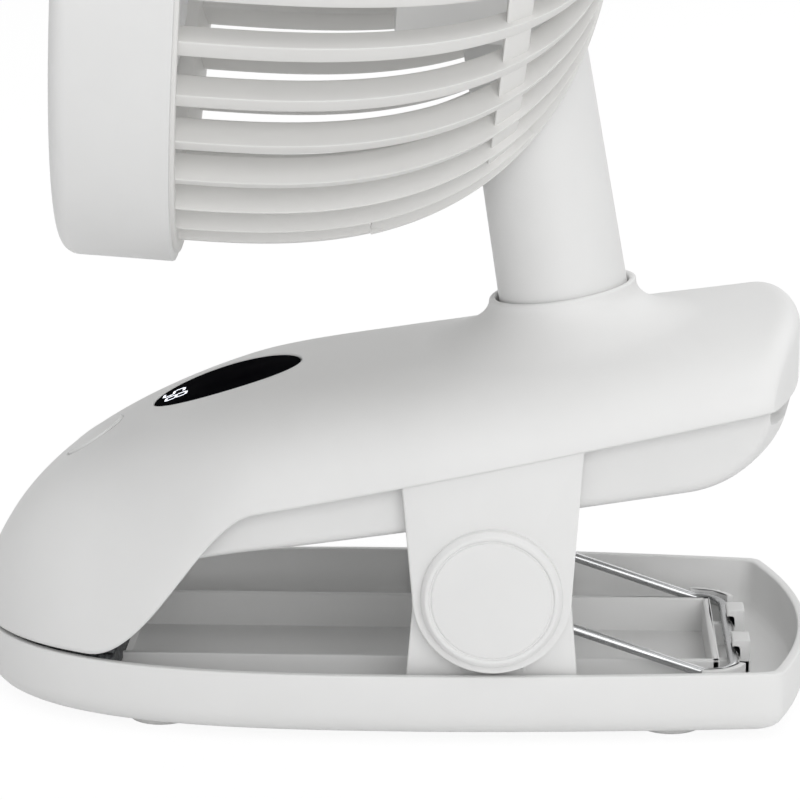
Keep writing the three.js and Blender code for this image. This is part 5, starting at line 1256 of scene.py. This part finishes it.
def swept_spokes():
    """Soft boxes along centre lines that turn by 34 degrees times share^1.5 towards the band."""
    start = np.arange(24) * 2 * np.pi / 24
    share = np.linspace(0, 1, 30)
    r = 18 + (73.3 - 18) * share
    angle = start[:, None] + math.radians(34) * share**1.5
    half = 0.9 * (0.6 + 0.4 * share)
    loop = softened([[-1, 0], [1, 0], [1, 3.2], [-1, 3.2]], 0.35)
    radial = np.stack([np.sin(angle), 0 * angle, np.cos(angle)], -1)[:, :, None, :]
    across_way = np.stack([np.cos(angle), 0 * angle, -np.sin(angle)], -1)[:, :, None, :]
    sideways_amount = half[None, :, None, None] * loop[None, None, :, :1]
    table = radial * r[None, :, None, None] + across_way * sideways_amount
    table = table + np.array([0, 1, 0]) * (GRILLE + loop[None, None, :, 1:2])
    return [solid(one) for one in table]


def hoop(inner, outer, low, high, radius, steps):
    """A hoop of box section between two radii and two places behind the grille's front."""
    corners = [[inner, low], [outer, low], [outer, high], [inner, high]]
    return turned(fine(np.array(corners) + [0, GRILLE], radius, loop=True), steps)


grille_band = hoop(71.3, 74.3, 0, 4.6, 0.4, 192)
thin_ring = hoop(45.1, 46.9, 0.4, 3, 0.3, 160)
plate_profile = [
    [0, 0.9], [18.2, 0.9], [18.2, -0.6], [19.5, -0.6], [20.5, 0.4], [20.5, 3.2], [0, 3.2],
]
grille_plate = turned(fine(np.array(plate_profile) + [0, GRILLE], 0.3), 96)
make_piece("grille", in_head(together(*swept_spokes(), grille_band, grille_plate, thin_ring)),
           "head", "white_cage", "front_grille", crease=38)
cap_rings = [(18 * s, GRILLE - 0.7 + 0.7 * s**2) for s in np.linspace(0, 0.97, 14)]
cap_edge = [(17.8, GRILLE - 0.25), (18, GRILLE - 0.05), (18, GRILLE + 0.6), (0, GRILLE + 0.6)]
make_piece("middle_cap", in_head(turned(cap_rings + cap_edge, 96)),
           "head", "white_shell", "grille_cap", crease=35)

# %% [markdown]
# ## Rotor and motor case
# Seven cambered blades grow from a hollow hub. A blade is a sheet over share of radius and
# share of width, raised along the axis with the width, and closed round its edges. The motor
# case is a cup with soft corners.

# %% Impeller
BLADES, BLADE_REAR = 7, GRILLE + 17.6


def blade_sheet(angle):
    """Place rises with the share a across, cambered by 1.2(1-a^2); the tips lead by 0.18 s."""
    share = np.linspace(0, 1, 22)[:, None]
    a = np.sin(np.linspace(-np.pi / 2, np.pi / 2, 17))[None, :]
    r = 15.3 + 48.2 * share
    rise = 5.9 * (0.95 - 0.35 * share**2)
    half_sweep = np.pi / BLADES * (0.82 - 0.1 * share**3)
    turn = angle + 0.18 * share + half_sweep * a
    middle = BLADE_REAR - 6.5 + rise * a + 1.2 * (1 - a**2)
    half = 0.8 * (1 - 0.6 * a**2)
    rear, front = (
        np.stack([r * np.sin(turn), middle + sign * half, r * np.cos(turn)], -1)
        for sign in (1, -1)
    )
    return solid(np.concatenate([rear, front[:, ::-1]], 1))


hub_profile = fine(np.array([
    [0, -12.4], [13.5, -12.4], [16.5, -9.4], [16.5, 4],
    [14.7, 4], [14.7, -9], [5, -10], [4, 2], [0, 2],
]) + [0, BLADE_REAR], 0.8, steps=5)
blades = [blade_sheet(k * 2 * np.pi / BLADES) for k in range(BLADES)]
make_piece("fan_wheel", in_head(together(turned(hub_profile, 96), *blades)),
           "rotor", "white_blade", "impeller", crease=38)

# %% Motor case
case_profile = fine([
    [0, -43], [13.2, -43], [15.6, -40.6], [16.2, -38], [16.2, -19.8],
    [14.6, -19.8], [14.6, -38], [12.7, -41], [0, -41],
], 0.8, steps=5)
make_piece("case", in_head(turned(case_profile, 96)),
           "head", "white_shell", "motor_case", crease=35)

# %% [markdown]
# ## Studio
# A plain pale floor and soft light from three wide lamps: above, beside the camera and behind.
# The background is white through Light Path: only what the camera sees directly, or in gloss
# and glass, is brightened, so no extra light falls on the fan.

# %% Floor, lamps and world
FLOOR_LEVEL = -0.0016
floor_mesh = bpy.data.meshes.new("floor")
corners = [(x, y, FLOOR_LEVEL) for x, y in ((-8, -8), (8, -8), (8, 8), (-8, 8))]
floor_mesh.from_pydata(corners, [], [(0, 1, 2, 3)])
floor = bpy.data.objects.new("floor", floor_mesh)
bpy.context.scene.collection.objects.link(floor)


def white_to_camera(tree, plain, white, output_socket, keep):
    """Mixes white over a plain shader for camera, glossy and transmission rays, by a share."""
    path = tree.nodes.new("ShaderNodeLightPath")
    first, second, scale = (tree.nodes.new("ShaderNodeMath") for _ in range(3))
    first.operation = second.operation = "MAXIMUM"
    scale.operation = "MULTIPLY"
    scale.inputs[1].default_value = keep
    tree.links.new(path.outputs["Is Camera Ray"], first.inputs[0])
    tree.links.new(path.outputs["Is Glossy Ray"], first.inputs[1])
    tree.links.new(first.outputs[0], second.inputs[0])
    tree.links.new(path.outputs["Is Transmission Ray"], second.inputs[1])
    tree.links.new(second.outputs[0], scale.inputs[0])
    mix = tree.nodes.new("ShaderNodeMixShader")
    tree.links.new(scale.outputs[0], mix.inputs[0])
    tree.links.new(plain, mix.inputs[1])
    tree.links.new(white, mix.inputs[2])
    tree.links.new(mix.outputs[0], output_socket)


floor_material = bpy.data.materials.new("pale_floor")
floor_material.use_nodes = True
tree = floor_material.node_tree
shader = tree.nodes["Principled BSDF"]
shader.inputs["Base Color"].default_value = (0.86, 0.86, 0.86, 1)
shader.inputs["Roughness"].default_value = 0.9
glow = tree.nodes.new("ShaderNodeEmission")
glow.inputs["Strength"].default_value = 1.06
floor_output = tree.nodes["Material Output"].inputs["Surface"]
white_to_camera(tree, shader.outputs[0], glow.outputs[0], floor_output, 0.86)
floor.data.materials.append(floor_material)

world = bpy.context.scene.world or bpy.data.worlds.new("world")
bpy.context.scene.world = world
world.use_nodes = True
tree = world.node_tree
plain = tree.nodes["Background"]
plain.inputs["Color"].default_value = (1, 1, 1, 1)
plain.inputs["Strength"].default_value = 0.5
bright = tree.nodes.new("ShaderNodeBackground")
bright.inputs["Strength"].default_value = 1.0
world_output = tree.nodes["World Output"].inputs["Surface"]
white_to_camera(tree, plain.outputs[0], bright.outputs[0], world_output, 1.0)


def soft_lamp(name, place, target, size, watts):
    """A square area lamp at a place, looking at a target."""
    lamp = bpy.data.lights.new(name, "AREA")
    lamp.shape = "SQUARE"
    lamp.size = size
    lamp.energy = watts
    holder = bpy.data.objects.new(name, lamp)
    bpy.context.scene.collection.objects.link(holder)
    holder.location = place
    view = Vector(target) - Vector(place)
    holder.rotation_euler = view.to_track_quat("-Z", "Y").to_euler()


soft_lamp("lamp_above", (0.2, 0.1, 1.3), (0, 0, 0.1), 1.0, 4.6)
soft_lamp("lamp_side", (1.3, 0.35, 0.55), (0, 0, 0.1), 1.0, 7)
soft_lamp("lamp_behind", (-0.9, 0.7, 0.8), (0, 0, 0.1), 0.8, 2.5)
bpy.context.scene.view_settings.view_transform = "Standard"
